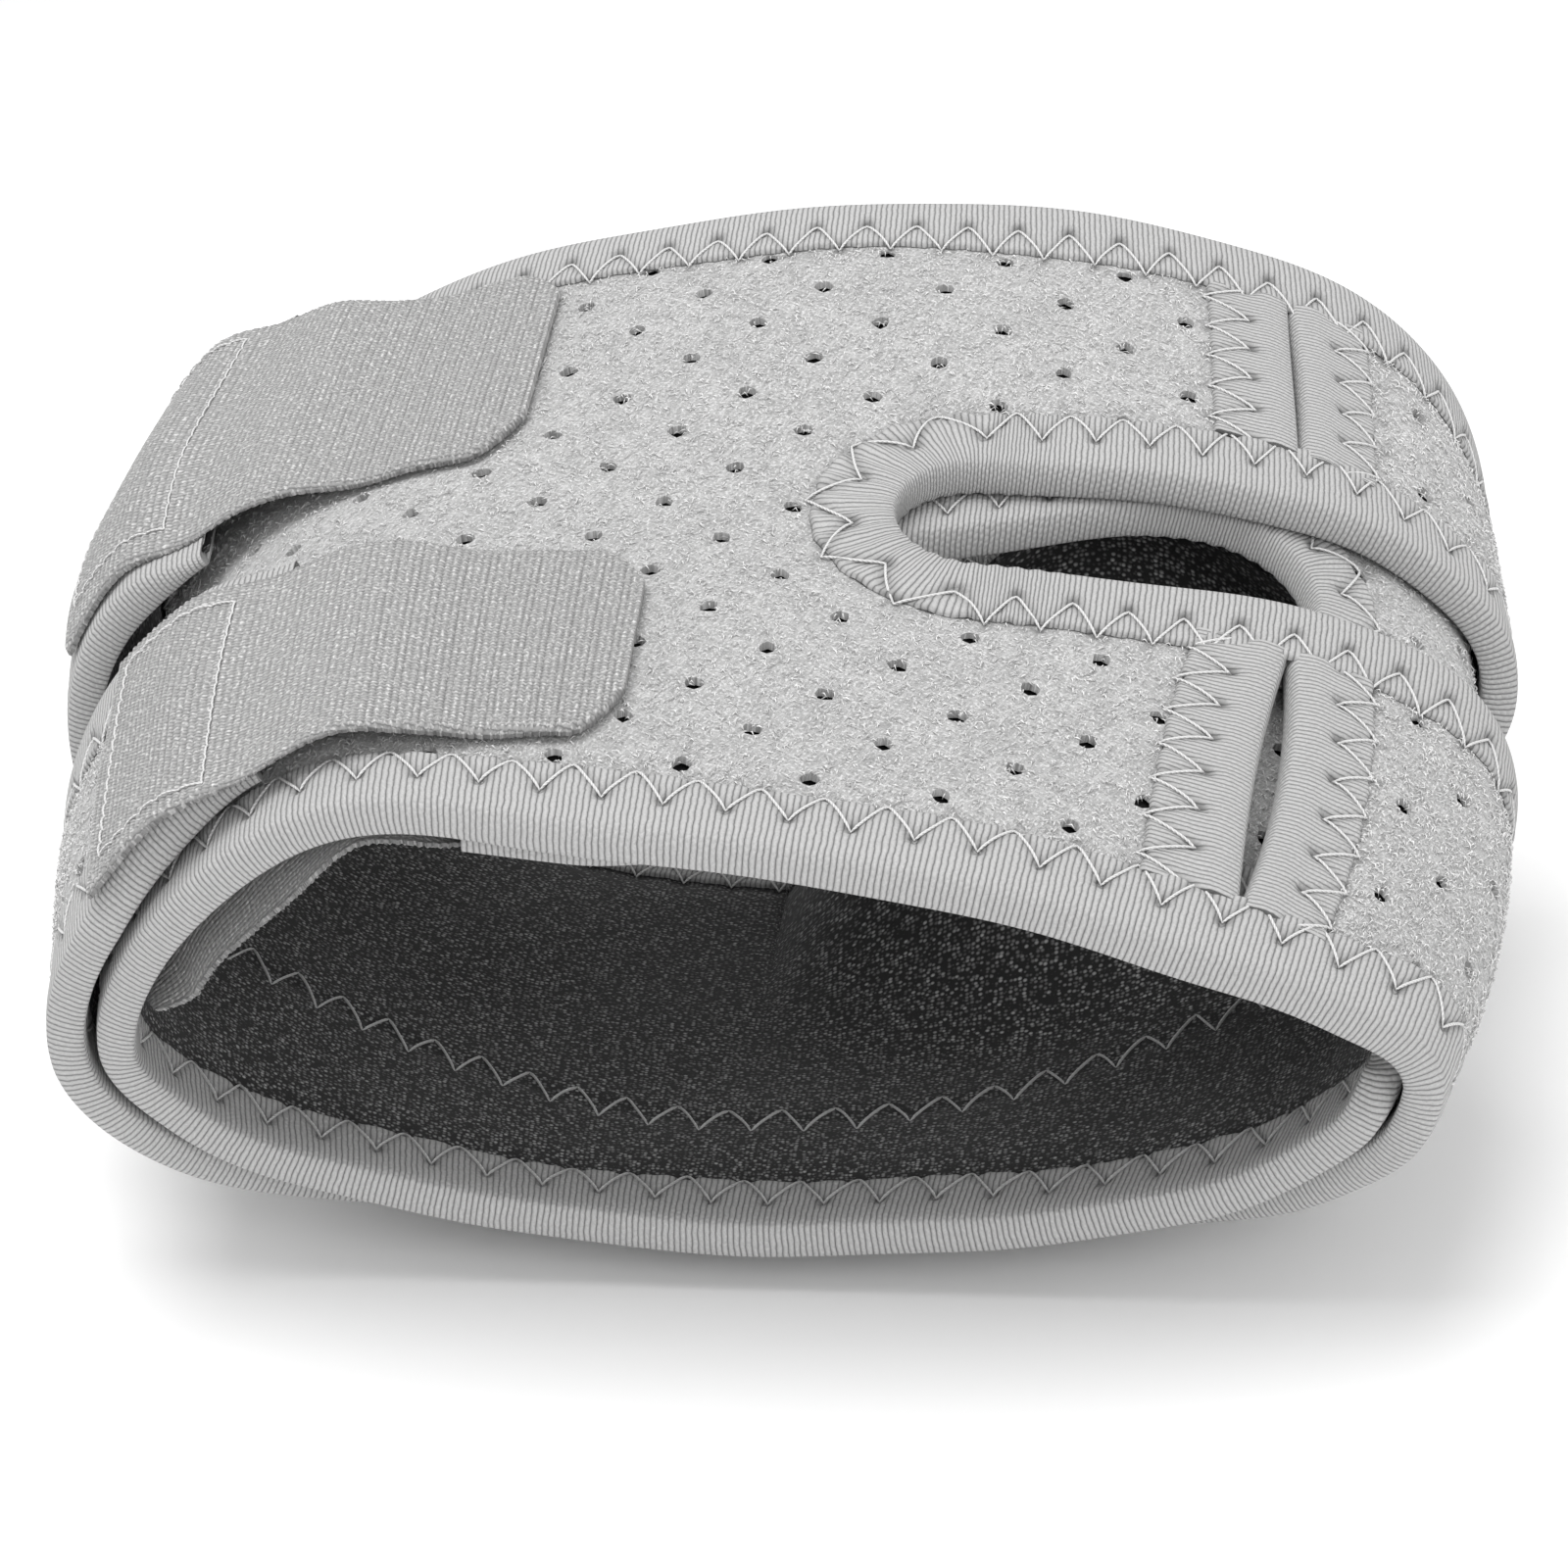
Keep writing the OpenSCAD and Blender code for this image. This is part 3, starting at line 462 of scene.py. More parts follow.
def cloth(name, p0, p1, low, high, cell, part, material, holes=False, margin=1.3):
    """A layer of the panel between two angles: a slab over a square lattice, cut back a little from
    the bound edges, pulled down at the needle holes. Perforations take away the four cells round
    a lattice point and draw its eight neighbours into a ring."""
    s, t, k, m = lattice(float(length_at(p0)), float(length_at(p1)), cell)
    ss, tt = np.meshgrid(s, t, indexing="ij")
    sc, tc = np.meshgrid((s[1:] + s[:-1]) / 2, (t[1:] + t[:-1]) / 2, indexing="ij")
    pc = angle_at(sc)
    cells = (edge_distance(pc, tc) > margin) & (pc > p0) & (pc < p1)
    if part == "lower":
        cells &= tc < notch_middle(pc) - 2
    if part == "upper":
        cells &= tc > notch_middle(pc) - 9
    s_top, t_top = ss.copy(), tt.copy()
    if holes:
        kk, mm = np.meshgrid(k, m, indexing="ij")
        centre = (kk % 6 == 0) & (mm % 6 == 0) & ((kk // 6 + mm // 6) % 2 == 1)
        i, j = np.argwhere(centre).T
        inside = (i > 1) & (j > 1) & (i < len(s) - 2) & (j < len(t) - 2)
        i, j = i[inside], j[inside]
        whole = np.all([cells[i + a, j + b] for a in range(-2, 2) for b in range(-2, 2)], axis=0)
        i, j = i[whole][:, None], j[whole][:, None]
        cells[i + np.array([-1, -1, 0, 0]), j + np.array([-1, 0, -1, 0])] = False
        ring = np.array([(a, b) for a in (-1, 0, 1) for b in (-1, 0, 1) if a or b])
        size = HOLE_RADIUS * rng.uniform(0.8, 1.12, (len(i), len(ring))) / np.hypot(*ring.T)
        s_top[i + ring[:, 0], j + ring[:, 1]] = ss[i, j] + ring[:, 0] * size
        t_top[i + ring[:, 0], j + ring[:, 1]] = tt[i, j] + ring[:, 1] * size
    p_top = angle_at(s_top)
    away = edge_distance(p_top, t_top)
    needle = needle_distance(s_top, t_top)
    puff = 0.3 * ease((away - 9) / 6) - 0.35 * bell(needle / 1.1) - 0.12 * bell((away - 9.6) / 1.6)
    shade = 1 - 0.5 * bell(needle / 0.75) - 0.25 * bell((away - 9.2) / 0.5)
    seam = 0 * needle
    if low < -1.5:
        on_seam = ease((p_top - 222) / 6) * ease((335 - p_top) / 6)
        seam = bell((t_top - seam_line(p_top)) / 1.2) * on_seam
    rise = puff if high > 1.2 else 0 * puff
    sink = puff - 0.4 * seam if low < -1.5 else 0 * puff
    top = wrap_point(p_top, t_top, high + rise)
    bottom = wrap_point(p_top, t_top, low - sink)
    uv = np.stack([s_top, t_top], -1)
    return add_mesh(
        name,
        np.concatenate([top.reshape(-1, 3), bottom.reshape(-1, 3)]),
        slab_faces(cells, len(t)),
        np.concatenate([uv.reshape(-1, 2)] * 2),
        material,
        np.concatenate([shade.ravel()] * 2),
    )


def tube(points, ups, radius, sides=6):
    """Rings of a round thread along rows of points, and its faces with both ends closed."""
    along = np.gradient(points, axis=0)
    along /= np.linalg.norm(along, axis=1, keepdims=True)
    side = np.cross(along, ups)
    side /= np.linalg.norm(side, axis=1, keepdims=True)
    up = np.cross(side, along)
    a = np.arange(sides) * 2 * np.pi / sides
    ring = points[:, None] + radius * (
        np.cos(a)[None, :, None] * side[:, None] + np.sin(a)[None, :, None] * up[:, None]
    )
    count = len(points)
    i, j = np.meshgrid(np.arange(count - 1), np.arange(sides), indexing="ij")
    i, j, j1 = i.ravel(), j.ravel(), (j.ravel() + 1) % sides
    faces = np.stack([i * sides + j, (i + 1) * sides + j, (i + 1) * sides + j1, i * sides + j1], 1)
    last = (count - 1) * sides
    caps = [[0, 1, 2, 3], [0, 3, 4, 5]]
    ends = [[last + c for c in cap[::-1]] for cap in caps]
    reach = np.concatenate([[0], np.cumsum(np.linalg.norm(np.diff(points, axis=0), axis=1))])
    uv = np.stack(
        [np.repeat(reach, sides), np.tile(a * radius, count)], 1
    )
    return ring.reshape(-1, 3), np.concatenate([faces, caps, ends]), uv


def threads(name, lines, material, radius=THREAD_RADIUS):
    """One mesh of several thread lines, each given as points and upward directions."""
    points, faces, uvs, start = [], [], [], 0
    for line, ups in lines:
        ring, quads, uv = tube(line, ups, radius)
        points.append(ring)
        faces.append(quads + start)
        uvs.append(uv)
        start += len(ring)
    return add_mesh(
        name, np.concatenate(points), np.concatenate(faces), np.concatenate(uvs), material, crease=80
    )


def thread_line(p, t, n):
    """Points and normals of a line that lies on the wrapped surface."""
    points = wrap_point(p, t, n)
    return points, wrap_point(p, t, n + 1.0) - points


def zigzag_lines(path, near, far, level, side):
    """A zigzag thread on one face, an arch over every half stitch that dives at the needle holes.
    level is its height at the inner and outer holes."""
    rows, run = even(path, 0.4)
    half = half_stitch(run)
    phase = np.arange(0, round(run[-1] / half) * 7 + 1) / 7
    wobble = 0.12 * np.sin(phase * 2.3) + 0.1 * np.sin(phase * 5.1 + side)
    at = phase * half
    p, t, dp, dt = (np.interp(at, run, rows[:, k]) for k in range(4))
    u = mix(near, far, zigzag_at(phase)) + wobble
    arch = np.sqrt(np.abs(np.sin(np.pi * phase)))
    n = side * (mix(level[0], level[1], zigzag_at(phase)) + 0.42 * arch)
    scale = mm_per_degree(p, t)
    return thread_line(p + u * dp / scale, t + u * dt, n)


PROFILE = np.array(
    [1, 0.985, 0.96, 0.92, 0.87, 0.81, 0.75, 0.69, 0.63, 0.57, 0.51, 0.45, 0.37, 0.28, 0.18, 0.08]
)


def tape(name, path, material, width=TAPE_WIDTH, zig=(ZIG_NEAR, ZIG_FAR), plump=0.0, gather=None):
    """Tape folded over a cut edge: a closed profile carried along the path. Its outer side runs from
    the inner border, over a round bead at the edge, to the border on the lining side. It sinks
    under the zigzag and at every needle hole, and each stitch draws the border in. gather is the
    place of a tight curve, where the tape wrinkles and its ribs crowd."""
    rows, run = even(path, 0.6)
    half = half_stitch(run)
    phase = run / half
    bunch = np.zeros(len(run))
    if gather is not None:
        away = np.hypot((rows[:, 0] - gather[0]) * NOTCH_SCALE, rows[:, 1] - gather[1])
        bunch = ease((gather[2] + 6 - away) / 6)
    pull = 0.35 * bell((phase % 2 - 1) * half / 1.0)
    reach = width + 0.12 - pull + 0.1 * np.sin(run * 1.7) + 0.06 * np.sin(run * 3.1)
    bead = np.radians(np.linspace(90, -90, 11)[1:-1])
    u_top = PROFILE[None, :] * reach[:, None]
    u_bead = -(TAPE_ROLL + plump) * np.cos(bead)[None, :] + 0 * run[:, None]
    sign = np.concatenate([np.ones(len(PROFILE)), np.sin(bead), -np.ones(len(PROFILE))])[None, :]
    u = np.concatenate([u_top, u_bead, u_top[:, ::-1]], 1)
    across = np.clip(u, 0, None)
    edge = np.clip((reach[:, None] - across) / 0.55, 0, 1)
    height = TAPE_INNER + (TAPE_OUTER - TAPE_INNER) * np.sqrt(1 - (1 - edge) ** 2)
    line = mix(zig[0], zig[1], zigzag_at(phase))[:, None]
    slope = 1 / math.hypot(1, (zig[1] - zig[0]) / half)
    groove = bell((across - line) * slope / 0.55)
    hole = bell(np.hypot((np.abs(phase % 2 - 1) - 1)[:, None] * half, across - zig[0]) / 0.8)
    puff = (0.1 + plump) * bell((across - 0.45 * zig[0]) / 1.6)
    wrinkle = bunch[:, None] * np.sin(run * 2.6)[:, None] * (0.14 + 0.1 * across / width)
    height = height + puff - 0.3 * groove - 0.42 * hole + wrinkle
    n = height * sign
    inner_n = TAPE_INNER * np.clip(sign * 1.6, -1, 1)
    inner_u = np.clip(u - 0.04, 0.35, None)
    ring_u = np.concatenate([u, (inner_u + 0 * u)[:, ::-1]], 1)
    ring_n = np.concatenate([n, (inner_n + 0 * u)[:, ::-1]], 1)
    points = place(rows, ring_u, ring_n)
    count, sides = ring_u.shape
    i, j = np.meshgrid(np.arange(count - 1), np.arange(sides), indexing="ij")
    i, j, j1 = i.ravel(), j.ravel(), (j.ravel() + 1) % sides
    faces = np.stack([i * sides + j1, (i + 1) * sides + j1, (i + 1) * sides + j, i * sides + j], 1)
    k = np.arange(sides // 2 - 1)
    cap = np.stack([k, k + 1, sides - 2 - k, sides - 1 - k], 1)
    faces = np.concatenate([faces, cap, cap[:, ::-1] + (count - 1) * sides])
    crowd = np.concatenate([[0], np.cumsum(np.diff(run) * (1 + 0.45 * bunch[1:]))])
    contour = np.cumsum(np.hypot(np.diff(ring_u, axis=1, prepend=ring_u[:, :1]), np.diff(ring_n, axis=1, prepend=ring_n[:, :1])), 1)
    uv = np.stack([crowd[:, None] + 0 * ring_u, contour], -1)
    shade = 1 - 0.42 * groove - 0.6 * hole - 0.25 * (1 - edge)
    shade = np.concatenate([shade, 0.6 + 0 * shade], 1)
    return add_mesh(name, points, faces, uv, material, np.clip(shade, 0.2, 1), crease=70)


def nap(name, p0, p1, part, count, material):
    """Fibres of the brushed face: bent spindles scattered over it, each a three-cornered ring between
    two tips, about 1.3 mm long and raised in the middle."""
    s = rng.uniform(float(length_at(p0)), float(length_at(p1)), count)
    t = rng.uniform(-66, 66, count)
    p = angle_at(s)
    away = edge_distance(p, t)
    keep = away > 9.3
    if part == "lower":
        keep &= t < notch_middle(p)
    if part == "upper":
        keep &= t > notch_middle(p)
    s, t, away = s[keep], t[keep], away[keep]
    count = len(s)
    turn = rng.uniform(0, np.pi, count)
    half = rng.uniform(0.4, 0.85, count)
    bend = rng.normal(0, 0.22, count)
    thick = rng.uniform(0.06, 0.105, count)
    rise = rng.uniform(0.12, 0.38, count)
    level = FACE_HIGH + 0.3 * ease((away - 9) / 6) - 0.12 * bell((away - 9.6) / 1.6)
    c, d = np.cos(turn), np.sin(turn)
    rows = []
    for along, side, up in ((-1, 0, -0.1), (1, 0, -0.1), (0, 1.0, 0), (0, -0.5, 0.8), (0, -0.5, -0.8)):
        middle = 1.0 if along == 0 else 0.0
        ds = along * half * c - (side * thick + middle * bend) * d
        dt = along * half * d + (side * thick + middle * bend) * c
        n = level + (middle * rise if along == 0 else up) + middle * up * thick
        rows.append(wrap_point(angle_at(s + ds), t + dt, n))
    points = np.stack(rows, 1).reshape(-1, 3)
    spindle = np.array([(0, 3, 2), (0, 4, 3), (0, 2, 4), (1, 2, 3), (1, 3, 4), (1, 4, 2)])
    faces = (np.arange(count)[:, None, None] * 5 + spindle[None]).reshape(-1, 3)
    uv = np.repeat(np.stack([s, t], 1), 5, axis=0)
    shade = np.repeat(rng.uniform(0.6, 1.0, count), 5)
    return add_mesh(name, points, faces, uv, material, shade, crease=180)


# ---- Hook tabs ----


def tab_base(p, v, stops):
    """Height of an outer tab's underside, from its own lap down to the lap it is stuck on."""
    down = lap_height(p, v) - lap_height(p - 360, v)
    return 2.75 - down * ease((p - stops[0] + 1) / 21)


def tab_clip(p, stops):
    """How far the corners of the free end are cut back."""
    return 9 * np.clip((p - stops[3] + 5) / 5, 0, None) ** 2


def lower_tab_edges(p):
    w, clip = ease((p - LOWER_STOPS[1]) / 50), tab_clip(p, LOWER_STOPS)
    return mix(-58, -50, w) + clip, mix(-14, -12, w) - 0.8 * clip


def upper_tab_edges(p):
    w, clip = ease((p - UPPER_STOPS[1]) / 50), tab_clip(p, UPPER_STOPS)
    return mix(6, 10, w) + clip, mix(58, 54, w) - 0.6 * clip


def inner_tab_top(p, v):
    under = lap_height(p + 360, v) - TAPE_OUTER - 0.5
    return mix(LINING_LOW - 0.65, under, ease((INNER_END + 1 - p) / 12))


def no_droop(p, t):
    return 0 * t


def near_droop(p, t):
    """The near inner tab hangs clear of the lining along its forearm edge."""
    return 4.2 * ease((62 - p) / 20) * ease((p - 10) / 14) * (1 - ease((t - near_edge(p + 360)) / 17))


def hook_tab(name, p0, p1, edges, low, up, material, droop=no_droop):
    """A woven tab of hook tape: a slab with ribs across it, one every 0.8 mm, on the hook side. The
    ribs are a power of a sine wave, and the cut edges are thinner and waver a little."""
    s = np.arange(float(length_at(p0)), float(length_at(p1)), 0.16)
    p = angle_at(s)
    f = np.concatenate([[0, 0.006, 0.02], np.linspace(0.045, 0.955, 30), [0.98, 0.994, 1]])
    a, b = edges(p)
    fray = 0.1 * np.sin(s * 5.3) + 0.08 * np.sin(s * 11.9)
    t = mix((a + fray)[:, None], (b + fray)[:, None], f[None, :])
    edge = np.minimum(f, 1 - f)[None, :] * (b - a)[:, None]
    thin = ease(edge / 0.8)
    rib = 0.22 * np.abs(np.sin(np.pi * s / 0.85))[:, None] * thin
    body = TAB_THICK * (0.45 + 0.35 * thin)
    wave = 0.12 * np.sin(s * 0.5)[:, None] * np.sin(t * 0.21) - droop(p[:, None], t)
    base = low(p)[:, None] + wave
    pp = p[:, None] + 0 * t
    if up:
        top, bottom = wrap_point(pp, t, base + body + rib), wrap_point(pp, t, base)
    else:
        top, bottom = wrap_point(pp, t, base + TAB_THICK), wrap_point(pp, t, base + TAB_THICK - body - rib)
    cells = np.ones((len(s) - 1, len(f) - 1), bool)
    uv = np.stack([s[:, None] + 0 * t, t], -1)
    shade = (0.62 + 1.7 * rib) * (0.85 + 0.15 * thin)
    return add_mesh(
        name,
        np.concatenate([top.reshape(-1, 3), bottom.reshape(-1, 3)]),
        slab_faces(cells, len(f)),
        np.concatenate([uv.reshape(-1, 2)] * 2),
        material,
        np.concatenate([shade.ravel()] * 2),
    )


def sewn_box(p0, p1, t0, t1, level):
    """Four lines of lock stitches, each stitch 2.4 mm long, that dip between stitches."""
    scale = float(mm_per_degree((p0 + p1) / 2, (t0 + t1) / 2))
    lines = []
    for a, b in (((p0, t0), (p1, t0)), ((p1, t0), (p1, t1)), ((p1, t1), (p0, t1)), ((p0, t1), (p0, t0))):
        length = math.hypot((b[0] - a[0]) * scale, b[1] - a[1])
        count = round(length / 2.4)
        phase = np.arange(0, count * 6 + 1) / 6
        w = phase / count
        p, t = mix(a[0], b[0], w), mix(a[1], b[1], w)
        lines.append(thread_line(p, t, level(p) + 0.3 * np.abs(np.sin(np.pi * phase)) ** 0.5))
    return lines


# ---- Materials ----


def add(tree, kind, values=None, **settings):
    """A shader node. An input given a socket is linked to it."""
    node = tree.nodes.new("ShaderNode" + kind)
    for key, value in settings.items():
        setattr(node, key, value)
    for key, value in (values or {}).items():
        if isinstance(value, bpy.types.NodeSocket):
            tree.links.new(value, node.inputs[key])
        else:
            node.inputs[key].default_value = value
    return node


def calc(tree, operation, *values):
    return add(tree, "Math", dict(enumerate(values)), operation=operation).outputs[0]


def blend_colour(tree, factor, a, b, how="MIX"):
    node = add(tree, "Mix", {0: factor, 6: a, 7: b}, data_type="RGBA", blend_type=how)
    return node.outputs[2]


def grey(value, warm=0.0):
    return (value * (1 + warm), value, value * (1 - warm), 1)


def new_group(name, inputs, outputs):
    tree = bpy.data.node_groups.new(name, "ShaderNodeTree")
    for socket, kind in inputs:
        tree.interface.new_socket(socket, in_out="INPUT", socket_type="NodeSocket" + kind)
    for socket in outputs:
        tree.interface.new_socket(socket, in_out="OUTPUT", socket_type="NodeSocketFloat")
    return tree, tree.nodes.new("NodeGroupInput"), tree.nodes.new("NodeGroupOutput")


def make_grain_group():
    """Fibres: noise stretched one way and then the other, and a fine even noise."""
    tree, inside, out = new_group("fibre_grain", [("Vector", "Vector"), ("Scale", "Float")], ["Grain", "Specks"])
    parts = []
    for turn in (0.5, -0.9, 1.9):
        turned = add(tree, "VectorRotate", {"Vector": inside.outputs[0], "Angle": turn}, rotation_type="Z_AXIS")
        long = add(tree, "VectorMath", {0: turned.outputs[0], 1: (0.35, 2.2, 1)}, operation="MULTIPLY")
        noise = add(tree, "TexNoise", {"Vector": long.outputs[0], "Scale": inside.outputs[1], "Detail": 3.0, "Roughness": 0.6})
        parts.append(noise.outputs[0])
    top = calc(tree, "MAXIMUM", calc(tree, "MAXIMUM", parts[0], parts[1]), parts[2])
    specks = add(tree, "TexNoise", {"Vector": inside.outputs[0], "Scale": calc(tree, "MULTIPLY", inside.outputs[1], 2.6), "Detail": 2.0})
    tree.links.new(top, out.inputs[0])
    tree.links.new(specks.outputs[0], out.inputs[1])
    return tree


def make_rib_group():
    """Ribs across the first coordinate, rounded on top with narrow gaps, broken along their length. The second
    output marks the gaps, which the materials darken as painted shade.
    """
    tree, inside, out = new_group(
        "ribs", [("Vector", "Vector"), ("Pitch", "Float"), ("Stitch", "Float")], ["Height", "Gap"]
    )
    wander = add(tree, "TexNoise", {"Vector": inside.outputs[0], "Scale": 0.55, "Detail": 3.0})
    shift = calc(tree, "MULTIPLY", calc(tree, "SUBTRACT", wander.outputs[0], 0.5), 0.35)
    parts = add(tree, "SeparateXYZ", {0: inside.outputs[0]})
    along = calc(tree, "DIVIDE", calc(tree, "ADD", parts.outputs[0], shift), inside.outputs[1])
    wave = calc(tree, "ABSOLUTE", calc(tree, "SINE", calc(tree, "MULTIPLY", along, math.pi)))
    row = calc(tree, "MULTIPLY", calc(tree, "FLOOR", along), 0.5)
    step = calc(tree, "ADD", calc(tree, "DIVIDE", parts.outputs[1], inside.outputs[2]), row)
    knot = calc(tree, "ABSOLUTE", calc(tree, "SINE", calc(tree, "MULTIPLY", step, math.pi)))
    height = calc(tree, "MULTIPLY", calc(tree, "POWER", wave, 0.6), calc(tree, "MULTIPLY_ADD", knot, 0.35, 0.65))
    gap = calc(tree, "POWER", calc(tree, "SUBTRACT", 1.0, wave), 2.0)
    tree.links.new(height, out.inputs[0])
    tree.links.new(gap, out.inputs[1])
    return tree


GRAIN = make_grain_group()
RIBS = make_rib_group()


def start_material(name):
    material = bpy.data.materials.new(name)
    material.use_nodes = True
    tree = material.node_tree
    tree.nodes.clear()
    uv = add(tree, "UVMap", uv_map="UVMap").outputs[0]
    shade = add(tree, "Attribute", attribute_name="shade", attribute_type="GEOMETRY").outputs["Fac"]
    return material, tree, uv, shade


def end_material(tree, colour, shade, height, depth, rough=0.9, sheen=0.3, sheen_rough=0.5, specular=0.3):
    """Shaded colour and bump, in metres, into one principled surface."""
    dark = blend_colour(tree, 1.0, colour, shade, "MULTIPLY")
    bump = add(tree, "Bump", {"Height": height, "Distance": depth, "Strength": 1.0})
    surface = add(
        tree,
        "BsdfPrincipled",
        {
            "Base Color": dark,
            "Roughness": rough,
            "Sheen Weight": sheen,
            "Sheen Roughness": sheen_rough,
            "Specular IOR Level": specular,
            "Normal": bump.outputs[0],
        },
    )
    out = add(tree, "OutputMaterial")
    tree.links.new(surface.outputs[0], out.inputs[0])


def group_node(tree, group, **values):
    node = tree.nodes.new("ShaderNodeGroup")
    node.node_tree = group
    for key, value in values.items():
        if isinstance(value, bpy.types.NodeSocket):
            tree.links.new(value, node.inputs[key])
        else:
            node.inputs[key].default_value = value
    return node


def make_loop_fabric():
    """Brushed loop fabric: a short nap of fibres with pale specks and small pits."""
    material, tree, uv, shade = start_material("loop_fabric")
    grain = group_node(tree, GRAIN, Vector=uv, Scale=1.0)
    fine = group_node(tree, GRAIN, Vector=uv, Scale=2.3)
    patch = add(tree, "TexNoise", {"Vector": uv, "Scale": 0.16, "Detail": 4.0}).outputs[0]
    height = calc(tree, "MULTIPLY_ADD", fine.outputs[0], 0.5, grain.outputs[0])
    tone = add(tree, "MapRange", {"Value": height, "From Min": 0.7, "From Max": 0.98}).outputs[0]
    colour = blend_colour(tree, tone, grey(0.27, 0.004), grey(0.6, 0.004))
    speck = add(tree, "MapRange", {"Value": grain.outputs[1], "From Min": 0.54, "From Max": 0.64}).outputs[0]
    colour = blend_colour(tree, speck, colour, grey(0.74))
    patchy = add(tree, "MapRange", {"Value": patch, "From Min": 0.3, "From Max": 0.7, "To Min": 0.9, "To Max": 1.06}).outputs[0]
    end_material(tree, colour, calc(tree, "MULTIPLY", shade, patchy), height, 0.0007, sheen=0.35)
    return material


def make_binding_tape():
    """Ribbed knit binding: fine ribs across the edge and small knit stitches, with painted shade in the gaps
    between the ribs.
    """
    material, tree, uv, shade = start_material("binding_tape")
    ribs = group_node(tree, RIBS, Vector=uv, Pitch=0.68, Stitch=0.8)
    grain = group_node(tree, GRAIN, Vector=uv, Scale=3.0)
    # painted shade: the gaps between the ribs are coloured dark grey
    colour = blend_colour(tree, ribs.outputs[1], grey(0.485, 0.004), grey(0.18))
    tone = add(tree, "MapRange", {"Value": grain.outputs[0], "From Min": 0.4, "From Max": 0.75, "To Min": 0.8, "To Max": 1.1}).outputs[0]
    height = calc(tree, "MULTIPLY_ADD", grain.outputs[0], 0.25, ribs.outputs[0])
    end_material(tree, colour, calc(tree, "MULTIPLY", shade, tone), height, 0.00022, sheen=0.2)
    return material


def make_hook_tape():
    """Hook tape: the modelled ribs carry rows of small hooks, with painted shade between the rows and pale specks
    painted on as highlights off the hooks.
    """
    material, tree, uv, shade = start_material("hook_tape")
    hooks = group_node(tree, RIBS, Vector=add(tree, "VectorRotate", {"Vector": uv, "Angle": math.pi / 2}, rotation_type="Z_AXIS").outputs[0], Pitch=0.62, Stitch=1.6)
    grain = group_node(tree, GRAIN, Vector=uv, Scale=0.85)
    # painted shade: the gaps between the rows of hooks are coloured dark grey
    colour = blend_colour(tree, hooks.outputs[1], grey(0.4, 0.006), grey(0.2))
    # painted highlight: pale specks stand for glints off the hooks
    speck = add(tree, "MapRange", {"Value": grain.outputs[1], "From Min": 0.54, "From Max": 0.64}).outputs[0]
    colour = blend_colour(tree, speck, colour, grey(0.72, 0.006))
    tone = add(tree, "MapRange", {"Value": grain.outputs[0], "From Min": 0.5, "From Max": 0.8, "To Min": 0.8, "To Max": 1.1}).outputs[0]
    height = calc(tree, "MULTIPLY_ADD", grain.outputs[0], 0.3, hooks.outputs[0])
    end_material(tree, colour, calc(tree, "MULTIPLY", shade, tone), height, 0.00012, rough=0.55, sheen=0.15, specular=0.45)
    return material


def make_jersey_lining():
    """Dark jersey: rows of small knit loops, some of them catching the light."""
    material, tree, uv, shade = start_material("jersey_lining")
    stretched = add(tree, "VectorMath", {0: uv, 1: (1.0, 1.35, 1.0)}, operation="MULTIPLY").outputs[0]
    loops = add(tree, "TexVoronoi", {"Vector": stretched, "Scale": 1.6, "Randomness": 0.6})
    dots = add(tree, "MapRange", {"Value": loops.outputs[0], "From Min": 0.12, "From Max": 0.52, "To Min": 1.0, "To Max": 0.0}).outputs[0]
    one = add(tree, "SeparateColor", {0: loops.outputs[1]}).outputs[0]
    bright = calc(tree, "MULTIPLY", dots, add(tree, "MapRange", {"Value": one, "From Min": 0.35, "From Max": 1.0}).outputs[0])
    grain = group_node(tree, GRAIN, Vector=uv, Scale=2.5)
    colour = blend_colour(tree, dots, grey(0.02), grey(0.2))
    colour = blend_colour(tree, bright, colour, grey(0.55))
    height = calc(tree, "MULTIPLY_ADD", grain.outputs[0], 0.3, dots)
    end_material(tree, colour, shade, height, 0.00016, sheen=0.15)
    return material


def make_thread():
    """Pale twisted thread."""
    material, tree, uv, shade = start_material("thread")
    parts = add(tree, "SeparateXYZ", {0: uv})
    twist = calc(tree, "SINE", calc(tree, "MULTIPLY", calc(tree, "ADD", parts.outputs[0], parts.outputs[1]), 11.0))
    ply = add(tree, "MapRange", {"Value": twist, "From Min": -1.0, "From Max": 1.0, "To Min": 0.75, "To Max": 1.0}).outputs[0]
    colour = blend_colour(tree, 1.0, grey(0.78, 0.004), ply, "MULTIPLY")
    end_material(tree, colour, shade, twist, 0.00004, rough=0.6, sheen=0.2, specular=0.4)
    return material


def make_nap():
    """Pale polyester fibres."""
    material, tree, uv, shade = start_material("nap")
    noise = add(tree, "TexNoise", {"Vector": uv, "Scale": 0.3, "Detail": 2.0}).outputs[0]
    end_material(tree, grey(0.9, 0.004), shade, noise, 0.00001, rough=0.6, sheen=0.2, specular=0.5)
    return material


def make_foam():
    """Black open foam, seen only in the perforations and at cut ends."""
    material, tree, uv, shade = start_material("foam_core")
    cells = add(tree, "TexVoronoi", {"Vector": uv, "Scale": 3.0}).outputs[0]
    colour = blend_colour(tree, cells, grey(0.008), grey(0.03))
    end_material(tree, colour, shade, cells, 0.0001, sheen=0.0)
    return material


MATERIALS = {
    "loop_fabric": make_loop_fabric(),
    "binding_tape": make_binding_tape(),
    "hook_tape": make_hook_tape(),
    "jersey_lining": make_jersey_lining(),
    "thread": make_thread(),
    "foam_core": make_foam(),
    "nap": make_nap(),
}


# ---- Building the brace ----


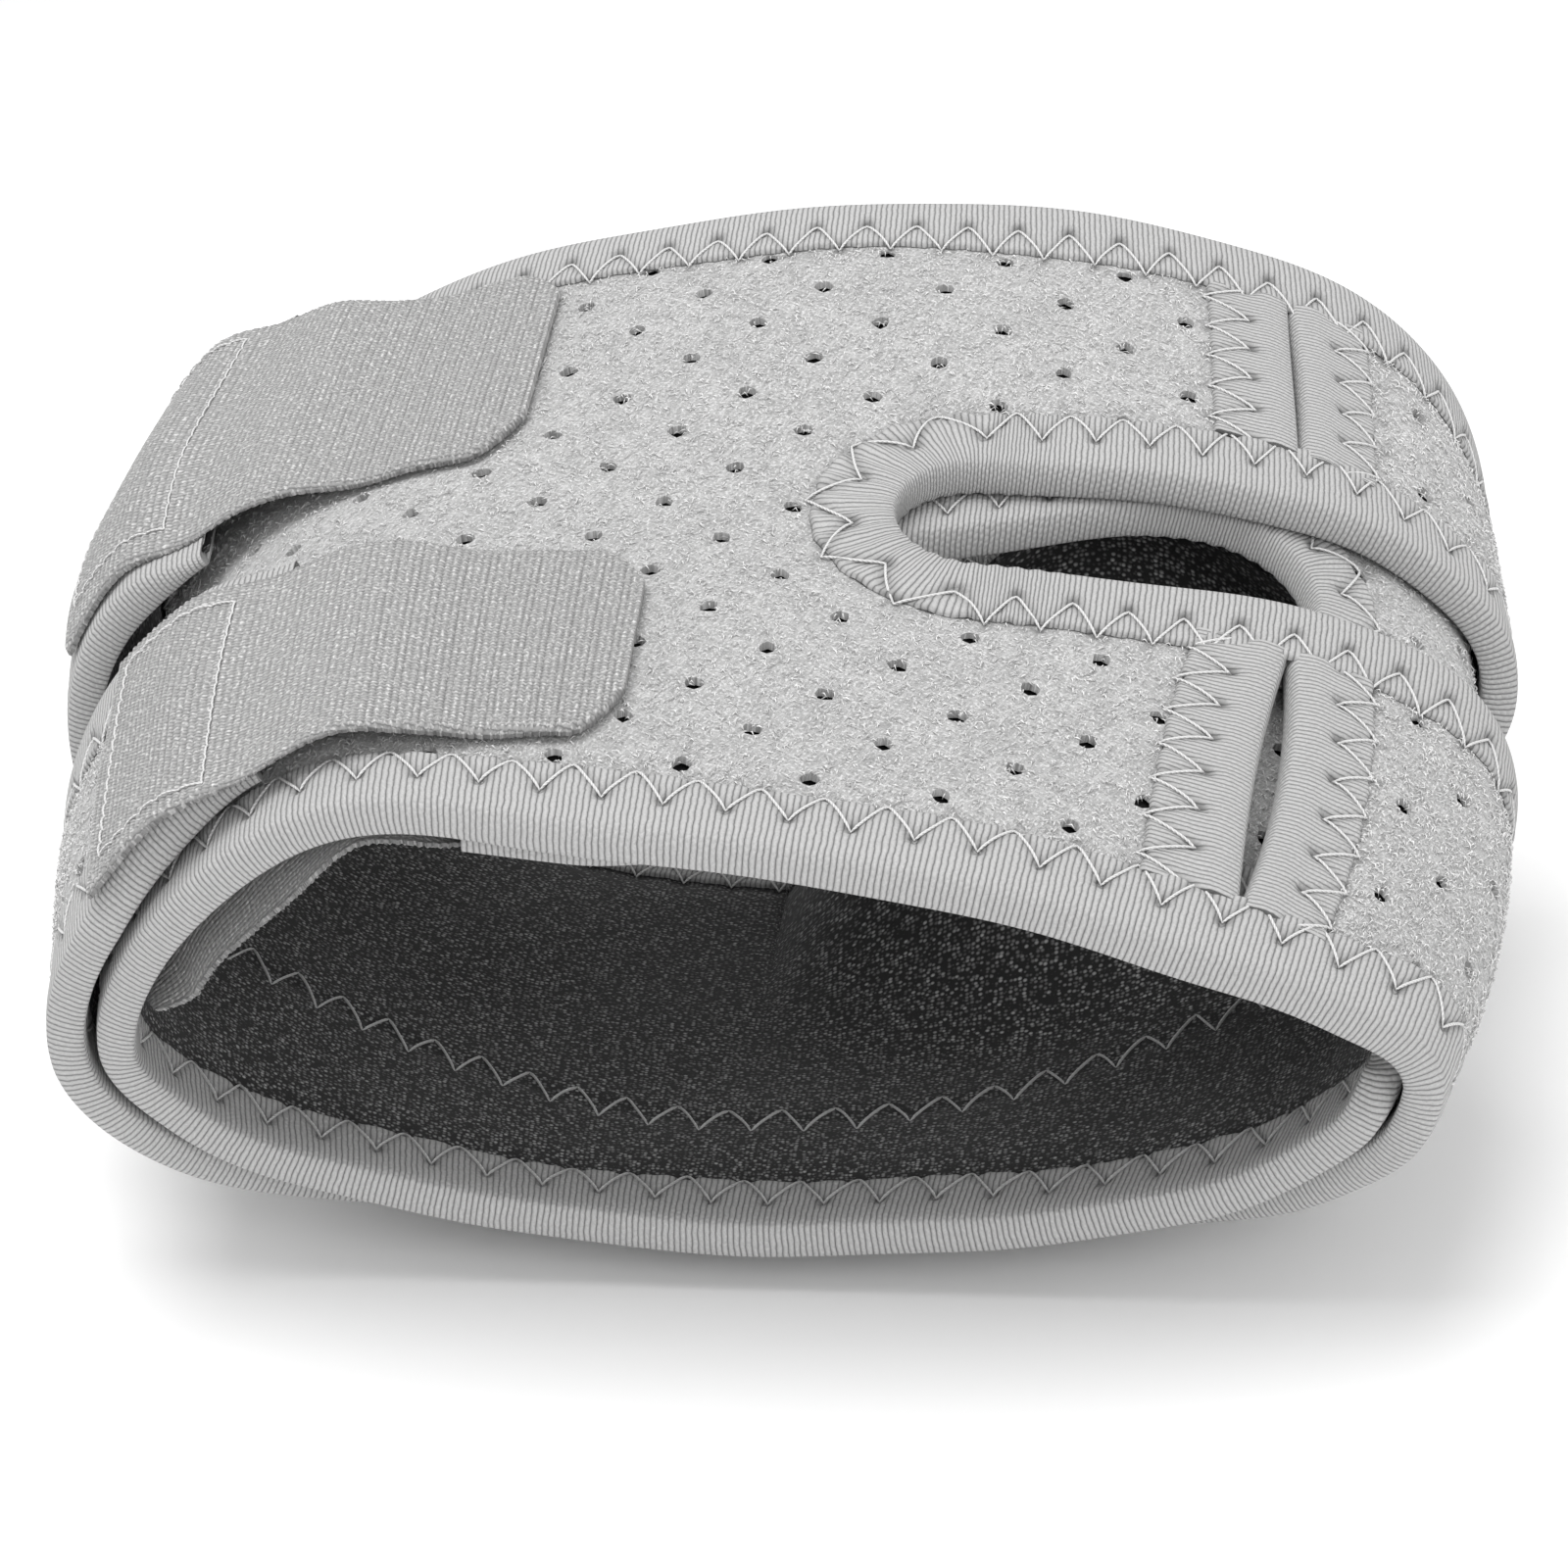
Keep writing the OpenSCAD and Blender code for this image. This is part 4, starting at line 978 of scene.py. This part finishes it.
def spot(p, t, n=0.0):
    """A point of the wrapped surface, in metres."""
    return tuple(wrap_point(p, t, n) / 1000)


TURNS = {
    "lower": ("brace", "lower_strap_end", spot(702.0, -36.0), spot(744.0, -36.0)),
    "upper": ("brace", "upper_strap_end", spot(700.0, 33.0), spot(731.0, 33.0)),
}


def join(obj, motion, slot, *nodes):
    """Hangs a piece under the empty of its body, or only bakes its transform when given a bend, and hides the CAD
    nodes it stands for. motion is a body's name, or the two bodies and two points of a bend. slot, its finish, is
    not used."""
    if isinstance(motion, str):
        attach(obj, motion)
    else:
        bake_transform(obj)
    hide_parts(*nodes)
    return obj


NAP = {"body": 50000, "lower_strap": 36000, "upper_strap": 36000, "lower_end": 28000, "upper_end": 28000}


def build_cloth():
    spans = (
        ("body", INNER_END, SLOT, None, "brace", "body", 118.0, 0.86),
        ("lower_strap", SLOT, SPLIT, "lower", "brace", "lower_strap", 52.0, 0.85),
        ("upper_strap", SLOT, SPLIT, "upper", "brace", "upper_strap", 50.0, 0.85),
        ("lower_end", SPLIT, LOWER_STOPS[0], "lower", TURNS["lower"], "lower_end", 48.0, 0.85),
        ("upper_end", SPLIT, UPPER_STOPS[0], "upper", TURNS["upper"], "upper_end", 60.0, 0.85),
    )
    for name, p0, p1, part, motion, node, width, share in spans:
        face = cloth(name + "_face", p0, p1, FOAM_HIGH, FACE_HIGH, CELL, part, MATERIALS["loop_fabric"], holes=True)
        foam = cloth(name + "_foam", p0, p1, FOAM_LOW, 0.35, 2 * CELL, part, MATERIALS["foam_core"], margin=1.6)
        lining = cloth(name + "_lining", p0, p1, LINING_LOW, FOAM_LOW, CELL, part, MATERIALS["jersey_lining"])
        join(face, motion, "loop_fabric", node + "_face")
        join(foam, motion, "foam_core", node + "_foam")
        join(lining, motion, "jersey_lining", node + "_lining")
        fibres = nap(name + "_nap", p0, p1, part, NAP[name], MATERIALS["nap"])
        join(fibres, motion, "loop_fabric")


def zigzags(path, near=ZIG_NEAR, far=ZIG_FAR):
    return [zigzag_lines(path, near, far, (1.74, 1.56), side) for side in (1, -1)]


def build_bindings():
    round_notch = (NOTCH_CENTRE, 1.5, NOTCH_HALF)
    round_inner = (INNER_CENTRE, 6.0, INNER_NOTCH_HALF)
    rows = (
        ("near_edge", "brace", "near_edge_binding", "near_edge_stitching", {}),
        ("far_edge", "brace", "far_edge_binding", "far_edge_stitching", {}),
        ("notch", "brace", "notch_binding", "notch_stitching", {"gather": round_notch}),
        ("lower_end_near", TURNS["lower"], "lower_end_near_binding", "lower_end_stitching", {}),
        ("lower_end_notch", TURNS["lower"], "lower_end_notch_binding", "lower_end_stitching", {}),
        ("upper_end_notch", TURNS["upper"], "upper_end_notch_binding", "upper_end_stitching", {}),
        ("upper_end_far", TURNS["upper"], "upper_end_far_binding", "upper_end_stitching", {}),
        ("lower_slot_left", "brace", "lower_slot_left_binding", "lower_slot_stitching", {"plump": 0.15}),
        ("lower_slot_right", "brace", "lower_slot_right_binding", "lower_slot_stitching", {"plump": 0.15}),
        ("upper_slot_left", "brace", "upper_slot_left_binding", "upper_slot_stitching", {"plump": 0.15}),
        ("upper_slot_right", "brace", "upper_slot_right_binding", "upper_slot_stitching", {"plump": 0.15}),
    )
    for name, motion, binding, stitching, options in rows:
        strip = tape(name + "_tape", PATHS[name], MATERIALS["binding_tape"], **options)
        join(strip, motion, "binding_tape", binding)
        sewn = threads(name + "_zigzag", zigzags(PATHS[name]), MATERIALS["thread"])
        join(sewn, motion, "thread", stitching)
    strip = tape(
        "inner_notch_tape", PATHS["inner_notch"], MATERIALS["binding_tape"],
        width=TAPE_WIDTH - 2, zig=(3.0, 7.8), gather=round_inner,
    )
    join(strip, "brace", "binding_tape", "inner_notch_binding")
    sewn = threads("inner_notch_zigzag", zigzags(PATHS["inner_notch"], 3.0, 7.8), MATERIALS["thread"])
    join(sewn, "brace", "thread", "inner_notch_stitching")


def build_seam():
    path = along_edge(222, 335, seam_line, 1)
    lines = [zigzag_lines(path, -2.6, 2.6, (-LINING_LOW + 0.17, -LINING_LOW + 0.17), -1)]
    join(threads("lining_seam", lines, MATERIALS["thread"]), "brace", "thread", "lining_seam_stitching")


def build_tabs():
    hook = MATERIALS["hook_tape"]
    for name, edges, stops, v, t, box in (
        ("lower", lower_tab_edges, LOWER_STOPS, 0.2, -34.0, (-54.0, -18.0)),
        ("upper", upper_tab_edges, UPPER_STOPS, 0.8, 33.0, (11.0, 54.0)),
    ):
        low = lambda p, v=v, stops=stops: tab_base(p, v, stops)
        tab = hook_tab(name + "_tab", stops[1], stops[3], edges, low, True, hook)
        bend = (name + "_strap_end", name + "_tab", spot(stops[2] - 3, t, 3.0), spot(stops[2] + 6, t, 2.0))
        join(tab, bend, "hook_tape", name + "_tab_anchor", name + "_hook_tab")
        top = lambda p, low=low: low(p) + TAB_THICK - 0.05
        lines = sewn_box(stops[1] + 2.5, stops[2] - 2.5, *box, top)
        sewn = threads(name + "_tab_box", lines, MATERIALS["thread"], 0.13)
        join(sewn, name + "_strap_end", "thread", name + "_tab_stitching")
    for name, v, ends, box in (
        ("near", 0.2, (-53.0, -20.0), (-47.0, -23.0)),
        ("far", 0.8, (14.0, 46.0), (17.0, 43.0)),
    ):
        def edges(p, ends=ends, name=name):
            clip = 7 * np.clip((INNER_TAB[0] + 4 - p) / 4, 0, None) ** 2
            first = ends[0] + 0 * p
            if name == "near":
                first = mix(first, near_edge(p + 360) + 1.5, ease((70 - p) / 14))
            return first + clip, ends[1] - clip

        low = lambda p, v=v: inner_tab_top(p, v) - TAB_THICK
        droop = near_droop if name == "near" else no_droop
        tab = hook_tab("inner_" + name + "_tab", *INNER_TAB, edges, low, False, hook, droop)
        join(tab, "brace", "hook_tape", "inner_" + name + "_hook_tab")
        lines = sewn_box(70, 78, *box, lambda p, low=low: low(p) - 0.25)
        box_thread = threads("inner_" + name + "_tab_box", lines, MATERIALS["thread"])
        join(box_thread, "brace", "thread", "inner_" + name + "_tab_stitching")


# ---- Camera, floor and light ----


def add_camera():
    """Looks down the arm opening from the forearm end, a little to the right and above."""
    azimuth, elevation, roll = (math.radians(a) for a in (8.3, 23.6, -4.0))
    back = Vector(
        (
            math.sin(azimuth) * math.cos(elevation),
            -math.cos(azimuth) * math.cos(elevation),
            math.sin(elevation),
        )
    )
    right = (-back).cross(Vector((0, 0, 1))).normalized()
    up = right.cross(-back)
    turned_right = math.cos(roll) * right + math.sin(roll) * up
    turned_up = -math.sin(roll) * right + math.cos(roll) * up
    data = bpy.data.cameras.new("camera")
    data.lens = 83.18
    data.sensor_width = 36.0
    data.clip_start = 0.01
    camera = bpy.data.objects.new("camera", data)
    axes = Matrix((turned_right, turned_up, back)).transposed()
    camera.matrix_world = Matrix.Translation(Vector((0.002, 0, 0.042)) + back * 0.435) @ axes.to_4x4()
    bpy.context.scene.collection.objects.link(camera)
    bpy.context.scene.camera = camera


def add_floor():
    mesh = bpy.data.meshes.new("floor")
    half = 3.0
    mesh.from_pydata([(-half, -half, 0), (half, -half, 0), (half, half, 0), (-half, half, 0)], [], [(0, 1, 2, 3)])
    material = bpy.data.materials.new("floor")
    material.use_nodes = True
    surface = material.node_tree.nodes["Principled BSDF"]
    surface.inputs["Base Color"].default_value = (0.97, 0.97, 0.97, 1)
    surface.inputs["Roughness"].default_value = 0.9
    mesh.materials.append(material)
    floor = bpy.data.objects.new("floor", mesh)
    bpy.context.scene.collection.objects.link(floor)


def add_area(name, place, target, size, power):
    data = bpy.data.lights.new(name, "AREA")
    data.shape = "DISK"
    data.size = size
    data.energy = power
    lamp = bpy.data.objects.new(name, data)
    lamp.location = place
    lamp.rotation_euler = (Vector(target) - Vector(place)).to_track_quat("-Z", "Y").to_euler()
    bpy.context.scene.collection.objects.link(lamp)


def add_light():
    world = bpy.data.worlds.new("studio")
    bpy.context.scene.world = world
    world.use_nodes = True
    background = world.node_tree.nodes["Background"]
    background.inputs["Color"].default_value = (1, 1, 1, 1)
    background.inputs["Strength"].default_value = 0.7
    add_area("top", (-0.2, -0.1, 1.1), (0, 0, 0.05), 0.9, 9.0)
    add_area("front", (0.5, -1.0, 0.6), (0, 0, 0.05), 0.7, 4.0)
    bpy.context.scene.view_settings.view_transform = "Standard"


add_camera()
build_cloth()
build_bindings()
build_seam()
build_tabs()
add_floor()
add_light()
